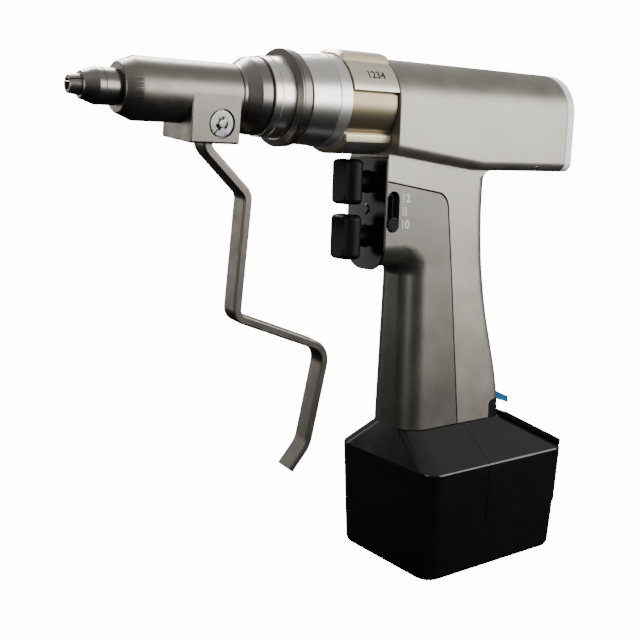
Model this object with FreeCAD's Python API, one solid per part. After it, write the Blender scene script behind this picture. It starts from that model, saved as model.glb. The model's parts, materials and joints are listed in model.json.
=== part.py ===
import FreeCAD, Part
import math
import os

# Battery surgical drill with a wire collet attachment, in millimetres.
# The nose points to -X, +Z is up, and the origin is the centre of the battery's underside.

V = FreeCAD.Vector

# Clearances shared by every fit
RUN = 0.08            # radial running clearance of shafts and bores
FIT = 0.05            # radial clearance of parts that are assembled and stay put
GAP = 0.3             # gap between neighbours that move past each other
SEAM = 0.7            # visible joint line between the handle's two shells
PARTING = 0.4         # joint line between the battery's shells

# Barrel axis, counted from the handle's foot, and the housing round the motor
AXIS_RISE = 150.7
HOUSING_R = 20.0
HOUSING_FRONT_X = -61.6
HOUSING_LENGTH = 109.6
HOUSING_BOTTOM_DROP = 28.0
HOUSING_EDGE_R = 4.6
MOTOR_BORE_R = 17.55
BELLY_HALF_W = 9.0
BELLY_WALL = 2.6

# Rear cap
CAP_THICKNESS = 5.8
CAP_RIM_CHAMFER = 0.9
CAP_SPIGOT = 4.0
CAP_BORE_LENGTH = 2.4
CAP_BORE_R = 2.6
CAP_FLARE = 1.1
CAP_FACE_T = 0.5
CAP_SPIGOT_WALL = 3.0
CAP_BOSS_WALL = 2.5

# Handle; drops are counted down from the barrel's axis
BLOCK_FRONT_X = -61.8
BLOCK_HALF_W = 13.7
BASE_HALF_W = 16.0
UNDER_TO_TRIGGER = 13.8
GRIP_FRONT_X = -45.0
GRIP_CONCAVE_R = 5.0
GRIP_FRONT_ROUND = 10.8
GRIP_REAR_ROUND = 7.5
HANDLE_WALL = 2.5
COVE_R = 4.2
NOTCH_X = 8.4
NOTCH_HEIGHT = 9.0
NOTCH_CORNER_R = 3.0
SEAM_TOP_FRONT_DROP = 34.0
SEAM_TOP_REAR_DROP = 39.8
SCREW_R = 1.5
SCREW_LENGTH = 2.7
SCREW_SUNK = 0.3
SCREW_X = 28.0

# Handle's rear edge as (x, height above the foot)
HANDLE_REAR = [
    (19.0, 0.0),
    (18.4, 9.7),
    (13.6, 32.7),
    (8.5, 51.7),
    (4.3, 74.7),
    (1.8, 101.7),
    (1.8, 119.7),
]

# Triggers
TRIGGER_TO_TOP = 11.2
TRIGGER_PITCH = 24.5
PAD_LENGTH = 9.8
PAD_WIDTH = 15.6
PAD_HEIGHT = 20.0
PAD_FRONT_R = 6.2
PAD_REAR_R = 3.2
PAD_SCOOP_R = 36.0
PAD_SCOOP = 1.3
PAD_EDGE_R = 2.4
PAD_TO_PLATE = 7.0
STEM_R = 4.9
STEM_WALL = 2.4
STEM_HOLLOW = 6.0
STEM_LENGTH = 17.5
SEAL_RING_W = 1.1
SEAL_RING_T = 1.8
SEAL_RING_IN = 0.6
PLATE_T = 1.0
PLATE_TOP_DROP = 23.0
PLATE_HANG = 1.6
PLATE_BOSS_HALF_W = 9.4
PLATE_BOSS_T = 3.0
PLATE_BOSS_R = 5.0
NUB_R = 2.2
NUB_PROUD = 0.7
SPRING_LENGTH = 12.0
SPRING_R = 4.0
SPRING_WIRE = 0.9
SPRING_TURNS = 5
MODULE_HALF_W = 9.0

# Speed selector on the left side
SLOT_X = -58.1
SLOT_BELOW_MIDDLE = 0.65
SLOT_W = 7.0
SLOT_H = 18.4
SLOT_CORNER_R = 3.4
SELECTOR_KNOB_H = 6.8
SELECTOR_PROUD = 0.9
SELECTOR_GUIDE_T = 0.9

# Mode collar and the barrel in front of the housing
COLLAR_LENGTH = 25.6
COLLAR_RING_LENGTH = 6.0
COLLAR_RING_R = 19.6
COLLAR_DRUM_R = 18.5
COLLAR_LAND_R = 20.0
COLLAR_RIB_R = 22.1
COLLAR_RIB_SPAN = 80.0
COLLAR_LAND_SPAN = 44.5
COLLAR_TURN = 7.0
BARREL_SLEEVE_LENGTH = 13.0
BARREL_SLEEVE_R = 18.5
NOSE_TUBE_R = 16.4
NOSE_TUBE_BORE_R = 13.6
NOSE_FLANGE_T = 1.8

# Collet attachment, from its flange forward
SEAL_T = 1.4
SEAL_R = 17.7
FLANGE_LENGTH = 4.5
FLANGE_R = 20.0
FLANGE_CONE = 2.7
RING_LENGTH = 8.1
RING_R = 16.6
RING_BORE_R = 14.0
GROOVE_LENGTH = 0.8
FLARE_RIM_LENGTH = 4.8
FLARE_RIM_R = 15.8
FLARE_CONE = 4.6
FLARE_NECK = 1.5
FLARE_NECK_R = 12.0
JOURNAL_LENGTH = 4.8
JOURNAL_R = 9.4
SPIGOT_LENGTH = 16.0
SPINDLE_BEARING_R = 9.5

# Swivel sleeve that carries the collet lever
SLEEVE_R = 12.1
SLEEVE_LENGTH = 48.9
SLEEVE_CONE = 6.6
SLEEVE_FRONT_R = 9.7
SLEEVE_BORE_R = 8.2
SLEEVE_FRONT_BORE_R = 6.1
SLEEVE_STEP = 9.0
SWIVEL_DEG = 6.0
BLOCK_LENGTH = 21.8
BLOCK_DROP = 18.6
BLOCK_REAR_INSET = 1.0
PIVOT_X = -144.9
PIVOT_DROP = 10.7
PIVOT_PIN_R = 1.75
CLIP_R = 5.15
CLIP_T = 0.9
COUNTERBORE_R = 5.7
COUNTERBORE_DEPTH = 1.2

# Collet lever: corners of its centre line as (x, distance under the barrel axis, bend radius)
LEVER_W = 9.2
LEVER_T = 4.1
LEVER_EDGE_R = 0.9
LEVER_CORNERS = [
    (-145.4, -12.0, 0.0),
    (-147.0, -20.4, 7.0),
    (-125.5, -39.8, 6.0),
    (-127.0, -92.6, 5.0),
    (-76.5, -111.8, 10.0),
    (-82.9, -158.8, 14.0),
    (-91.6, -170.2, 0.0),
]
LEVER_EYE_R = 3.0
FINGER_T = 2.2
FINGER_W = 6.0
FINGER_DROP = 6.9

# Nose and spindle
BORE_R = 2.1
SPINDLE_BORE_R = 2.6
SPINDLE_R = 5.5
TIP_LENGTH = 3.9
TIP_R = 3.35
TIP_REAR_R = 4.5
NOSE_CONE = 6.1
NOSE_CONE_R = 5.1
NOSE_LENGTH = 8.0
NOSE_R = 6.87
NOSE_TO_SLEEVE = 0.8
NOSE_HUB = 7.0
COLLET_R = 2.95
COLLET_SLIT = 0.4
DRAW_FRONT = 6.0
DRAW_GROOVE_R = 6.4
DRAW_FLANGE_R = 7.6

# Gearbox
MODULE = 0.8
SUN_TEETH = 15
PLANET_TEETH = 12
RING_TEETH = 39
PLANETS = 3
PRESSURE_DEG = 25.0
TOOTH_ADDENDUM = 0.85
TOOTH_DEDENDUM = 1.2
BACKLASH = 0.14
GEAR_LENGTH = 7.8
CARRIER_T = 2.8
CARRIER_R = 13.1
CARRIER_PIN_R = 1.5
CARRIER_SHAFT_R = 6.0
SOCKET_R = 8.8
HEX_FLATS = 9.0

# Motor and electronics
SHAFT_R = 4.0
BULKHEAD_T = 3.0
BEARING_T = 4.0
STATOR_LENGTH = 36.0
STATOR_BORE_R = 13.2
WINDING_BORE_R = 10.6
ROTOR_R = 10.1
CANNULA_R = 2.15
CANNULA_BORE_R = 1.8
BOARD_T = 1.6
BOARD_R = 17.2
BOARD_TO_PLATE = 6.0
CAPACITOR_ORBIT_R = 11.6
CAPACITOR_R = 3.6
CAPACITOR_LENGTH = 14.0
LEAD_R = 1.0

# Battery
BATTERY_DRAFT = 2.2
BATTERY_ROOF_H = 16.0
BATTERY_CORNER_R = 9.0
BATTERY_FOOT_R = 3.8
BATTERY_EAVE_R = 1.6
BATTERY_WALL = 2.4
PLATEAU_FRONT_X = -44.0
PLATEAU_REAR_X = 20.5
PLATEAU_HALF_W = 15.4
LID_PARTING_Z = 47.3
COVER_PARTING_X = -8.6
COVER_SKIRT_Z = 25.4
COVER_PROUD = 0.6
REAR_STEP_H = 2.0
REAR_STEP_SINK = 1.0
CELL_R = 11.1
CELL_LENGTH = 43.0
CELL_GAP = 0.3
CELL_BUTTON_R = 3.5
CELL_BUTTON_H = 1.0
CELL_END_ROOM = 9.2
CELL_SIDE_ROOM = 0.36
CELL_TOP_ROOM = 7.55
PACK_BOARD_T = 1.6
PACK_BOARD_TO_WALL = 4.7
WELL_WALL = 1.6
WELL_ROOM = 1.3
WELL_SIDE = 4.0
WELL_FLOOR = 1.8
CLIP_HEIGHT = 7.0
CLIP_HALF_L = 2.4
CLIP_HALF_W = 2.0
BLADE_T = 1.0
BLADE_W = 5.0
BLADE_X = -15.2
BLADE_REACH = 9.0
BLADE_SPREAD = 12.0

# Battery latch in the handle's rear notch
LATCH_PIVOT_X = 14.0
LATCH_PIVOT_RISE = 4.9
LATCH_PIN_R = 1.2
LATCH_HUB_R = 1.9
LATCH_W = 12.0
LATCH_REACH = 21.3
LATCH_ROOT = 5.0
LATCH_ROOF_T = 0.8
HOOK_DROP = 10.5
HOOK_T = 2.2
HOOK_HALF_W = 4.0
HOOK_FRONT = 1.6
HOOK_ROOM = 0.8
HOOK_CUP_WALL = 1.4


# Heights, worked out from the battery's cells upwards
cell_pitch = 2 * CELL_R + CELL_GAP
cell_row = cell_pitch * math.sqrt(3) / 2
battery_l = 2 * (cell_pitch + CELL_R + BATTERY_WALL + BATTERY_DRAFT + CELL_END_ROOM)
battery_w = 2 * (cell_row + CELL_R + BATTERY_WALL + BATTERY_DRAFT + CELL_SIDE_ROOM)
pack_board_z = BATTERY_WALL + FIT + CELL_LENGTH + CELL_BUTTON_H + FIT
eave_z = BATTERY_WALL + FIT + CELL_LENGTH + CELL_BUTTON_H + CELL_TOP_ROOM
battery_top_z = eave_z + BATTERY_ROOF_H
base_z = battery_top_z + GAP
axis_z = base_z + AXIS_RISE
plate_top_z = axis_z - PLATE_TOP_DROP
upper_trigger_z = plate_top_z - TRIGGER_TO_TOP
lower_trigger_z = upper_trigger_z - TRIGGER_PITCH
block_under_z = lower_trigger_z - UNDER_TO_TRIGGER
slot_z = (upper_trigger_z + lower_trigger_z) / 2 - SLOT_BELOW_MIDDLE
notch_top_z = base_z + NOTCH_HEIGHT
latch_pivot_z = base_z + LATCH_PIVOT_RISE
well_floor_z = base_z - BLADE_REACH - WELL_FLOOR
well_front_x = BLADE_X - BLADE_W / 2 - WELL_ROOM
well_half_w = BLADE_SPREAD / 2 + WELL_SIDE
pocket_floor_z = latch_pivot_z - HOOK_DROP - HOOK_ROOM


# Stations along the barrel, worked out from the housing's front face
collar_rear = HOUSING_FRONT_X - GAP
collar_front = collar_rear - COLLAR_LENGTH
collar_ring_front = collar_front - COLLAR_RING_LENGTH
barrel_rear = collar_ring_front - GAP
barrel_front = barrel_rear - BARREL_SLEEVE_LENGTH
seal_front = barrel_front - SEAL_T
flange_front = seal_front - FLANGE_LENGTH
ring_rear = flange_front - FLANGE_CONE
ring_front = ring_rear - RING_LENGTH
flare_rear = ring_front - GROOVE_LENGTH
flare_rim_front = flare_rear - FLARE_RIM_LENGTH
flare_neck_rear = flare_rim_front - FLARE_CONE
sleeve_rear = flare_neck_rear - FLARE_NECK - GAP
sleeve_front = sleeve_rear - SLEEVE_LENGTH
journal_front = sleeve_rear - JOURNAL_LENGTH
block_rear = sleeve_rear - BLOCK_REAR_INSET
block_front = block_rear - BLOCK_LENGTH
nose_rear = sleeve_front - NOSE_TO_SLEEVE
nose_cone_rear = nose_rear - NOSE_LENGTH
nose_cone_front = nose_cone_rear - NOSE_CONE
tip_front = nose_cone_front - TIP_LENGTH
housing_rear = HOUSING_FRONT_X + HOUSING_LENGTH
cap_rear = housing_rear + CAP_THICKNESS
nose_tube_rear = HOUSING_FRONT_X + NOSE_FLANGE_T

# Stations of the gearbox and motor, worked out rearwards
ring_gear_front = nose_tube_rear + FIT
ring_gear_rear = ring_gear_front + GEAR_LENGTH + 2 * GAP
gear_front = ring_gear_front + GAP
gear_rear = gear_front + GEAR_LENGTH
carrier_rear = gear_front - GAP - FIT
carrier_front = carrier_rear - CARRIER_T
front_plate_rear = ring_gear_rear + BULKHEAD_T
stator_front = front_plate_rear + BEARING_T / 2
stator_rear = stator_front + STATOR_LENGTH
rear_plate_front = stator_rear + BEARING_T / 2
rear_plate_rear = rear_plate_front + BULKHEAD_T
tower_top_z = base_z + 13.8
planet_orbit_r = MODULE * (SUN_TEETH + PLANET_TEETH) / 2
board_front = rear_plate_rear + BOARD_TO_PLATE

housing_bottom_z = axis_z - HOUSING_BOTTOM_DROP
pivot_z = axis_z - PIVOT_DROP
plate_front_x = BLOCK_FRONT_X - PLATE_T
pad_rear_x = plate_front_x - PAD_TO_PLATE
pad_front_x = pad_rear_x - PAD_LENGTH
stem_rear_x = pad_rear_x + STEM_LENGTH
module_rear_x = stem_rear_x + SPRING_LENGTH + GAP + HANDLE_WALL


# Drawing helpers

def side_plane(y):
    """Points given as (x, z) at this y."""
    return lambda u, v: V(u, y, v)


def front_plane(x):
    """Points given as (y, z) at this x."""
    return lambda u, v: V(x, u, v)


def floor_plane(z):
    """Points given as (x, y) at this z."""
    return lambda u, v: V(u, v, z)


def rounded_edges(corners, place, closed):
    """Straight edges joined by tangent arcs through corners (u, v, radius)."""
    points = [place(u, v) for u, v, _ in corners]
    radii = [r for _, _, r in corners]
    count = len(points)
    stations = []
    for i in range(count):
        inner = closed or 0 < i < count - 1
        if radii[i] > 0 and inner:
            to_before = (points[i - 1] - points[i]).normalize()
            to_after = (points[(i + 1) % count] - points[i]).normalize()
            half = to_before.getAngle(to_after) / 2
            bisector = (to_before + to_after).normalize()
            reach = radii[i] / math.tan(half)
            middle = points[i] + bisector * (radii[i] / math.sin(half) - radii[i])
            stations.append((points[i] + to_before * reach, middle, points[i] + to_after * reach))
        else:
            stations.append((points[i], None, points[i]))
    edges = []
    for i in range(count):
        start, middle, end = stations[i]
        if middle is not None:
            edges.append(Part.Arc(start, middle, end).toShape())
        if i + 1 < count or closed:
            following = stations[(i + 1) % count][0]
            if end.distanceToPoint(following) > 1e-6:
                edges.append(Part.LineSegment(end, following).toShape())
    return edges


def outline(corners, place):
    """Closed wire through rounded corners."""
    return Part.Wire(rounded_edges(corners, place, True))


def prism_y(corners, y_low, y_high):
    """Side-view outline carried across the object's width."""
    return Part.Face(outline(corners, side_plane(y_low))).extrude(V(0, y_high - y_low, 0))


def prism_x(corners, x_low, x_high):
    """Front-view outline carried along the barrel."""
    return Part.Face(outline(corners, front_plane(x_low))).extrude(V(x_high - x_low, 0, 0))


def box(x_low, x_high, y_low, y_high, z_low, z_high):
    """Box between two corners."""
    return Part.makeBox(x_high - x_low, y_high - y_low, z_high - z_low, V(x_low, y_low, z_low))


def rectangle(u_low, u_high, v_low, v_high, radius):
    """Corner list of a rectangle with equal corner radii."""
    return [(u_low, v_low, radius), (u_high, v_low, radius), (u_high, v_high, radius), (u_low, v_high, radius)]


def turned(profile):
    """Ring or shaft on the barrel axis from a closed profile of (x, radius)."""
    points = [V(x, 0, axis_z + r) for x, r in profile]
    face = Part.Face(Part.makePolygon(points + [points[0]]))
    return face.revolve(V(0, 0, axis_z), V(1, 0, 0), 360)


def barrel_tube(x_low, x_high, r_outer, r_inner):
    """Plain tube on the barrel axis."""
    return turned([(x_low, r_inner), (x_low, r_outer), (x_high, r_outer), (x_high, r_inner)])


def cylinder_x(x_low, x_high, radius, y=0.0, z=axis_z):
    """Cylinder parallel to the barrel."""
    return Part.makeCylinder(radius, x_high - x_low, V(x_low, y, z), V(1, 0, 0))


def cylinder_y(y_low, y_high, radius, x, z):
    """Cylinder across the object's width."""
    return Part.makeCylinder(radius, y_high - y_low, V(x, y_low, z), V(0, 1, 0))


def soften(shape, radius, chosen):
    """Fillet the edges that the test picks."""
    return shape.makeFillet(radius, [edge for edge in shape.Edges if chosen(edge)])


def swivelled(shape):
    """The collet sleeve and its lever as they stand, turned about the barrel."""
    turned_shape = shape.copy()
    turned_shape.rotate(V(0, 0, axis_z), V(1, 0, 0), SWIVEL_DEG)
    return turned_shape


def clean(shape):
    """One solid with its split faces joined."""
    return shape.removeSplitter()


def coil(length, radius, wire, turns, place):
    """Compression spring of square wire about Z, moved by the placement."""
    pitch = (length - wire) / turns
    helix = Part.makeHelix(pitch, length - wire, radius)
    half = wire / 2
    section = Part.makePolygon([
        V(radius - half, 0, -half),
        V(radius + half, 0, -half),
        V(radius + half, 0, half),
        V(radius - half, 0, half),
        V(radius - half, 0, -half),
    ])
    spring = Part.Wire(helix).makePipeShell([section], True, True)
    spring.translate(V(0, 0, half))
    spring.Placement = place.multiply(spring.Placement)
    return spring


# Main housing and handle

def housing_section(half_w, radius, bottom_z, corner):
    """Inverted U: a half round over flat sides and a flat floor, as a face normal to X."""
    place = front_plane(HOUSING_FRONT_X)
    top = Part.Arc(place(-half_w, axis_z), place(0, axis_z + radius), place(half_w, axis_z)).toShape()
    lower = [(half_w, axis_z, 0), (half_w, bottom_z, corner), (-half_w, bottom_z, corner), (-half_w, axis_z, 0)]
    return Part.Face(Part.Wire([top] + rounded_edges(lower, place, False)))


def barrel_block(x_low, x_high, inset=0.0):
    """The housing's outer barrel between two stations."""
    section = housing_section(HOUSING_R - inset, HOUSING_R - inset, housing_bottom_z + inset, HOUSING_EDGE_R)
    block = section.extrude(V(x_high - x_low, 0, 0))
    block.translate(V(x_low - HOUSING_FRONT_X, 0, 0))
    return block


def barrel_outer():
    """Barrel whose floor rises a little towards the collar."""
    rise_x = HOUSING_FRONT_X + 52.0
    rise = 6.5
    wedge = prism_y([
        (HOUSING_FRONT_X - 1, housing_bottom_z - 1, 0),
        (rise_x, housing_bottom_z - 1, 0),
        (rise_x, housing_bottom_z, 0),
        (HOUSING_FRONT_X - 1, housing_bottom_z + rise, 0),
    ], -HOUSING_R - 1, HOUSING_R + 1)
    return barrel_block(HOUSING_FRONT_X, housing_rear).cut(wedge)


def handle_side_edges(inset):
    """Side view of the handle, closed, as edges; inset moves every wall inwards."""
    place = side_plane(-BASE_HALF_W - 2)
    front = BLOCK_FRONT_X + inset
    grip = GRIP_FRONT_X + inset
    under = block_under_z + inset
    base = base_z
    top = axis_z - 6.0
    rear = [V(x - inset, 0, base + height) for x, height in HANDLE_REAR]
    curve = Part.BSplineCurve()
    curve.interpolate([place(p.x, p.z) for p in rear])
    corners = [
        (rear[-1].x, rear[-1].z, 0),
        (rear[-1].x, top, 0),
        (front, top, 0),
        (front, under, 0),
        (grip, under, GRIP_CONCAVE_R + inset),
        (grip, base, 0),
        (rear[0].x, base, 0),
    ]
    return [curve.toShape()] + rounded_edges(corners, place, False)


def handle_solid(inset, round_front, round_rear):
    """Handle with sides that widen towards the base and rounded front and rear edges."""
    depth = 2 * (BASE_HALF_W + 2)
    slab = Part.Face(Part.Wire(handle_side_edges(inset))).extrude(V(0, depth, 0))
    top_w = BLOCK_HALF_W - inset
    low_w = BASE_HALF_W - inset
    front_view = [
        (-low_w, base_z, 0), (low_w, base_z, 0),
        (top_w, block_under_z + inset, 0), (top_w, axis_z, 0),
        (-top_w, axis_z, 0), (-top_w, block_under_z + inset, 0),
    ]
    solid = slab.common(prism_x(front_view, BLOCK_FRONT_X - 1, NOTCH_X + 20))
    grip = GRIP_FRONT_X + inset

    def is_front(edge):
        centre = edge.CenterOfMass
        box_ = edge.BoundBox
        off_middle = abs(centre.y) > top_w - 1
        below = box_.ZMax < block_under_z + inset + 0.5
        ahead = box_.XMax < grip + 1
        return off_middle and below and ahead and box_.YLength < 3

    def is_rear(edge):
        centre = edge.CenterOfMass
        box_ = edge.BoundBox
        return abs(centre.y) > top_w - 1 and box_.XMin > -3 - inset and box_.ZLength > 5 and box_.YLength < 3

    solid = soften(solid, round_front, is_front)
    return soften(solid, round_rear, is_rear)


def seam_region(offset):
    """Everything ahead of the shell's joint line; offset moves the line back into the housing."""
    return prism_y([
        (BLOCK_FRONT_X - 5, axis_z - SEAM_TOP_FRONT_DROP + offset, 0),
        (BLOCK_FRONT_X, axis_z - SEAM_TOP_FRONT_DROP + offset, 0),
        (-25.5 + offset, axis_z - SEAM_TOP_REAR_DROP + offset, 8.0),
        (-20.8 + offset, base_z + 76.4, 60.0),
        (-13.5 + offset, base_z + 1.1, 0),
        (-13.5 + offset, base_z - 5, 0),
        (BLOCK_FRONT_X - 5, base_z - 5, 0),
    ], -HOUSING_R, HOUSING_R)


def handle_cavity(wall=HANDLE_WALL):
    """Inside of the handle, open at the base."""
    cavity = handle_solid(wall, GRIP_FRONT_ROUND - wall, GRIP_REAR_ROUND - wall)
    keep = box(BLOCK_FRONT_X, 40, -HOUSING_R, HOUSING_R, base_z - 5, housing_bottom_z + BELLY_WALL)
    return cavity.common(keep)


def front_window():
    """Opening in the handle's front wall that the trigger plate's boss fills."""
    low = block_under_z + HANDLE_WALL + 2
    corners = rectangle(-PLATE_BOSS_HALF_W - FIT, PLATE_BOSS_HALF_W + FIT, low, plate_top_z - 3, PLATE_BOSS_R)
    return prism_x(corners, BLOCK_FRONT_X - 1, BLOCK_FRONT_X + PLATE_BOSS_T + 1)


def selector_slot():
    """Upright slot through the left wall."""
    half = SLOT_W / 2
    corners = rectangle(SLOT_X - half, SLOT_X + half, slot_z - SLOT_H / 2, slot_z + SLOT_H / 2, SLOT_CORNER_R)
    return prism_y(corners, -BASE_HALF_W - 1, -BLOCK_HALF_W + HANDLE_WALL + FIT)


def notch():
    """Rear foot of the handle cut away for the latch."""
    return prism_y([
        (NOTCH_X, base_z - 5, 0),
        (NOTCH_X + 30, base_z - 5, 0),
        (NOTCH_X + 30, notch_top_z, 0),
        (NOTCH_X, notch_top_z, NOTCH_CORNER_R),
    ], -HOUSING_R, HOUSING_R)


def housing_screw_place(side):
    """Point and outward direction of a screw in the lower rear edge."""
    tilt = math.radians(45)
    direction = V(0, side * math.cos(tilt), -math.sin(tilt))
    centre = V(SCREW_X, side * (HOUSING_R - HOUSING_EDGE_R), housing_bottom_z + HOUSING_EDGE_R)
    return centre + direction * HOUSING_EDGE_R, direction


def rear_cove():
    """Hollow blend between the handle's rear and the barrel's underside."""
    rear_x = HANDLE_REAR[-1][0]
    low = housing_bottom_z - COVE_R
    height = COVE_R + FIT
    half = BLOCK_HALF_W - GRIP_REAR_ROUND
    middle = box(rear_x - 1, rear_x + COVE_R, -half, half, low, low + height)
    cove = middle.cut(cylinder_y(-half - 1, half + 1, COVE_R, rear_x + COVE_R, low))
    for side in (-1, 1):
        centre = V(rear_x - GRIP_REAR_ROUND, side * half, low)
        horn = Part.makeCylinder(GRIP_REAR_ROUND + COVE_R, height, centre)
        horn = horn.cut(Part.makeTorus(GRIP_REAR_ROUND + COVE_R, COVE_R, centre))
        corner = box(centre.x, rear_x + COVE_R, min(side * half, side * BLOCK_HALF_W),
                     max(side * half, side * BLOCK_HALF_W), low, low + height)
        cove = cove.fuse(horn.common(corner))
    return cove


def main_housing():
    """One casting: motor barrel and the rear of the handle."""
    handle = handle_solid(0.0, GRIP_FRONT_ROUND, GRIP_REAR_ROUND).cut(seam_region(SEAM))
    body = barrel_outer().fuse(handle).fuse(rear_cove())
    body = body.cut(cylinder_x(HOUSING_FRONT_X - 1, housing_rear + 1, MOTOR_BORE_R))
    belly_front = HOUSING_FRONT_X + 22
    belly = prism_x(
        rectangle(-BELLY_HALF_W, BELLY_HALF_W, housing_bottom_z + BELLY_WALL, axis_z - 12, 1.5),
        belly_front, housing_rear - CAP_SPIGOT - 2)
    body = body.cut(belly).cut(handle_cavity()).cut(front_window()).cut(notch())
    for side in (-1, 1):
        point, direction = housing_screw_place(side)
        depth = SCREW_LENGTH + SCREW_SUNK
        body = body.cut(Part.makeCylinder(SCREW_R + FIT, depth + 1, point - direction * depth, direction))
    return clean(body)


def housing_screws():
    """Two small screws in the lower rear edge, one each side."""
    screws = []
    for side in (-1, 1):
        point, direction = housing_screw_place(side)
        base = point - direction * (SCREW_LENGTH + SCREW_SUNK)
        screw = Part.makeCylinder(SCREW_R, SCREW_LENGTH, base, direction)
        socket = Part.makeCylinder(SCREW_R / 2, SCREW_LENGTH, base + direction * SCREW_LENGTH * 2 / 3, direction)
        screws.append(screw.cut(socket))
    return Part.makeCompound(screws)


def grip_front_shell():
    """Front shell with the finger rest and the selector slot."""
    shell = handle_solid(0.0, GRIP_FRONT_ROUND, GRIP_REAR_ROUND).common(seam_region(0.0))
    shell = shell.cut(handle_cavity()).cut(front_window()).cut(selector_slot()).cut(selector_pocket())
    return clean(shell)


def rear_cap():
    """Cover over the barrel's rear end, with the wire's way out on the axis."""
    cap = barrel_block(housing_rear, cap_rear)
    cap = cap.makeChamfer(CAP_RIM_CHAMFER, [
        edge for edge in cap.Edges
        if edge.BoundBox.XMin > cap_rear - 0.01
    ])
    spigot = cylinder_x(housing_rear - CAP_SPIGOT, housing_rear, MOTOR_BORE_R - FIT)
    pocket = cylinder_x(housing_rear - CAP_SPIGOT - 1, housing_rear - CAP_FACE_T, MOTOR_BORE_R - CAP_SPIGOT_WALL)
    boss = cylinder_x(housing_rear - CAP_SPIGOT - 3, housing_rear, CANNULA_R + CAP_BOSS_WALL)
    cap = cap.fuse(spigot).cut(pocket).fuse(boss)
    cap = cap.cut(cylinder_x(housing_rear - CAP_SPIGOT - 5, cap_rear - CAP_BORE_LENGTH - CAP_FLARE, CANNULA_R + FIT))
    cap = cap.cut(cylinder_x(cap_rear - CAP_BORE_LENGTH - CAP_FLARE, cap_rear, CAP_BORE_R))
    flare = Part.makeCone(CAP_BORE_R, CAP_BORE_R + CAP_FLARE, CAP_FLARE,
                          V(cap_rear - CAP_FLARE, 0, axis_z), V(1, 0, 0))
    cap = cap.cut(flare)
    return clean(cap)


# Triggers and selector

def trigger_plate():
    """Black front plate with a boss that fills the handle's window and carries the stems."""
    top_w = BLOCK_HALF_W
    corner = GRIP_FRONT_ROUND
    low_z = block_under_z - PLATE_HANG
    plate = prism_x([
        (-top_w, low_z, corner), (top_w, low_z, corner),
        (top_w, plate_top_z, 1.0), (-top_w, plate_top_z, 1.0),
    ], plate_front_x, BLOCK_FRONT_X)
    low = block_under_z + HANDLE_WALL + 2
    boss = prism_x(rectangle(-PLATE_BOSS_HALF_W, PLATE_BOSS_HALF_W, low + FIT, plate_top_z - 3 - FIT,
                             PLATE_BOSS_R - FIT),
                   BLOCK_FRONT_X - 0.2, BLOCK_FRONT_X + PLATE_BOSS_T)
    plate = plate.fuse(boss)
    plate = soften(plate, 0.5, lambda e: e.BoundBox.XMax < plate_front_x + 0.01)
    middle = (upper_trigger_z + lower_trigger_z) / 2
    nub = cylinder_x(plate_front_x - NUB_PROUD, plate_front_x + PLATE_T / 2, NUB_R, 0.0, middle)
    plate = plate.fuse(nub)
    for z in (upper_trigger_z, lower_trigger_z):
        plate = plate.cut(cylinder_x(plate_front_x - 1, BLOCK_FRONT_X + PLATE_BOSS_T + 1, STEM_R + RUN, 0.0, z))
        seat_x = BLOCK_FRONT_X + SEAL_RING_IN
        seat = cylinder_x(seat_x, seat_x + SEAL_RING_T, STEM_R + SEAL_RING_W, 0.0, z)
        plate = plate.cut(seat)
    return clean(plate)


def trigger_seals():
    """Wiper ring round each stem, in the plate's boss."""
    rings = []
    for z in (upper_trigger_z, lower_trigger_z):
        seat_x = BLOCK_FRONT_X + SEAL_RING_IN
        ring = cylinder_x(seat_x + FIT, seat_x + SEAL_RING_T - FIT, STEM_R + SEAL_RING_W - FIT, 0.0, z)
        rings.append(ring.cut(cylinder_x(BLOCK_FRONT_X, BLOCK_FRONT_X + 3, STEM_R + RUN, 0.0, z)))
    return Part.makeCompound(rings)


def trigger(z):
    """Scooped finger pad on a round stem."""
    half_w = PAD_WIDTH / 2
    plan = outline([
        (pad_front_x, -half_w, PAD_FRONT_R), (pad_rear_x, -half_w, PAD_REAR_R),
        (pad_rear_x, half_w, PAD_REAR_R), (pad_front_x, half_w, PAD_FRONT_R),
    ], floor_plane(z - PAD_HEIGHT / 2))
    pad = Part.Face(plan).extrude(V(0, 0, PAD_HEIGHT))
    pad = soften(pad, PAD_EDGE_R, lambda e: e.BoundBox.ZLength < 0.01)
    pad = pad.cut(cylinder_y(-half_w - 1, half_w + 1, PAD_SCOOP_R, pad_front_x - PAD_SCOOP_R + PAD_SCOOP, z))
    stem = cylinder_x(pad_rear_x - 2, stem_rear_x, STEM_R, 0.0, z)
    hollow = cylinder_x(stem_rear_x - STEM_HOLLOW, stem_rear_x + 1, STEM_R - STEM_WALL, 0.0, z)
    return clean(pad.fuse(stem).cut(hollow))


def trigger_spring(z):
    """Return spring between a stem's end and the module's floor."""
    place = FreeCAD.Placement(V(stem_rear_x + GAP / 2, 0, z), FreeCAD.Rotation(V(0, 0, 1), V(1, 0, 0)))
    return coil(SPRING_LENGTH, SPRING_R, SPRING_WIRE, SPRING_TURNS, place)


def trigger_module():
    """Guide block inside the handle: a bore and a spring pocket for each stem."""
    front = BLOCK_FRONT_X + PLATE_BOSS_T + FIT
    block = prism_x(rectangle(-MODULE_HALF_W, MODULE_HALF_W, block_under_z + HANDLE_WALL + 2.5, plate_top_z - 8, 2.5),
                    front, module_rear_x)
    block = block.cut(box(-50.0, module_rear_x + 1, MODULE_HALF_W - 2, MODULE_HALF_W + 1,
                          lower_trigger_z + 4, upper_trigger_z - 4))
    for z in (upper_trigger_z, lower_trigger_z):
        block = block.cut(cylinder_x(front - 1, module_rear_x - HANDLE_WALL, STEM_R + RUN, 0.0, z))
    return clean(block)


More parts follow.
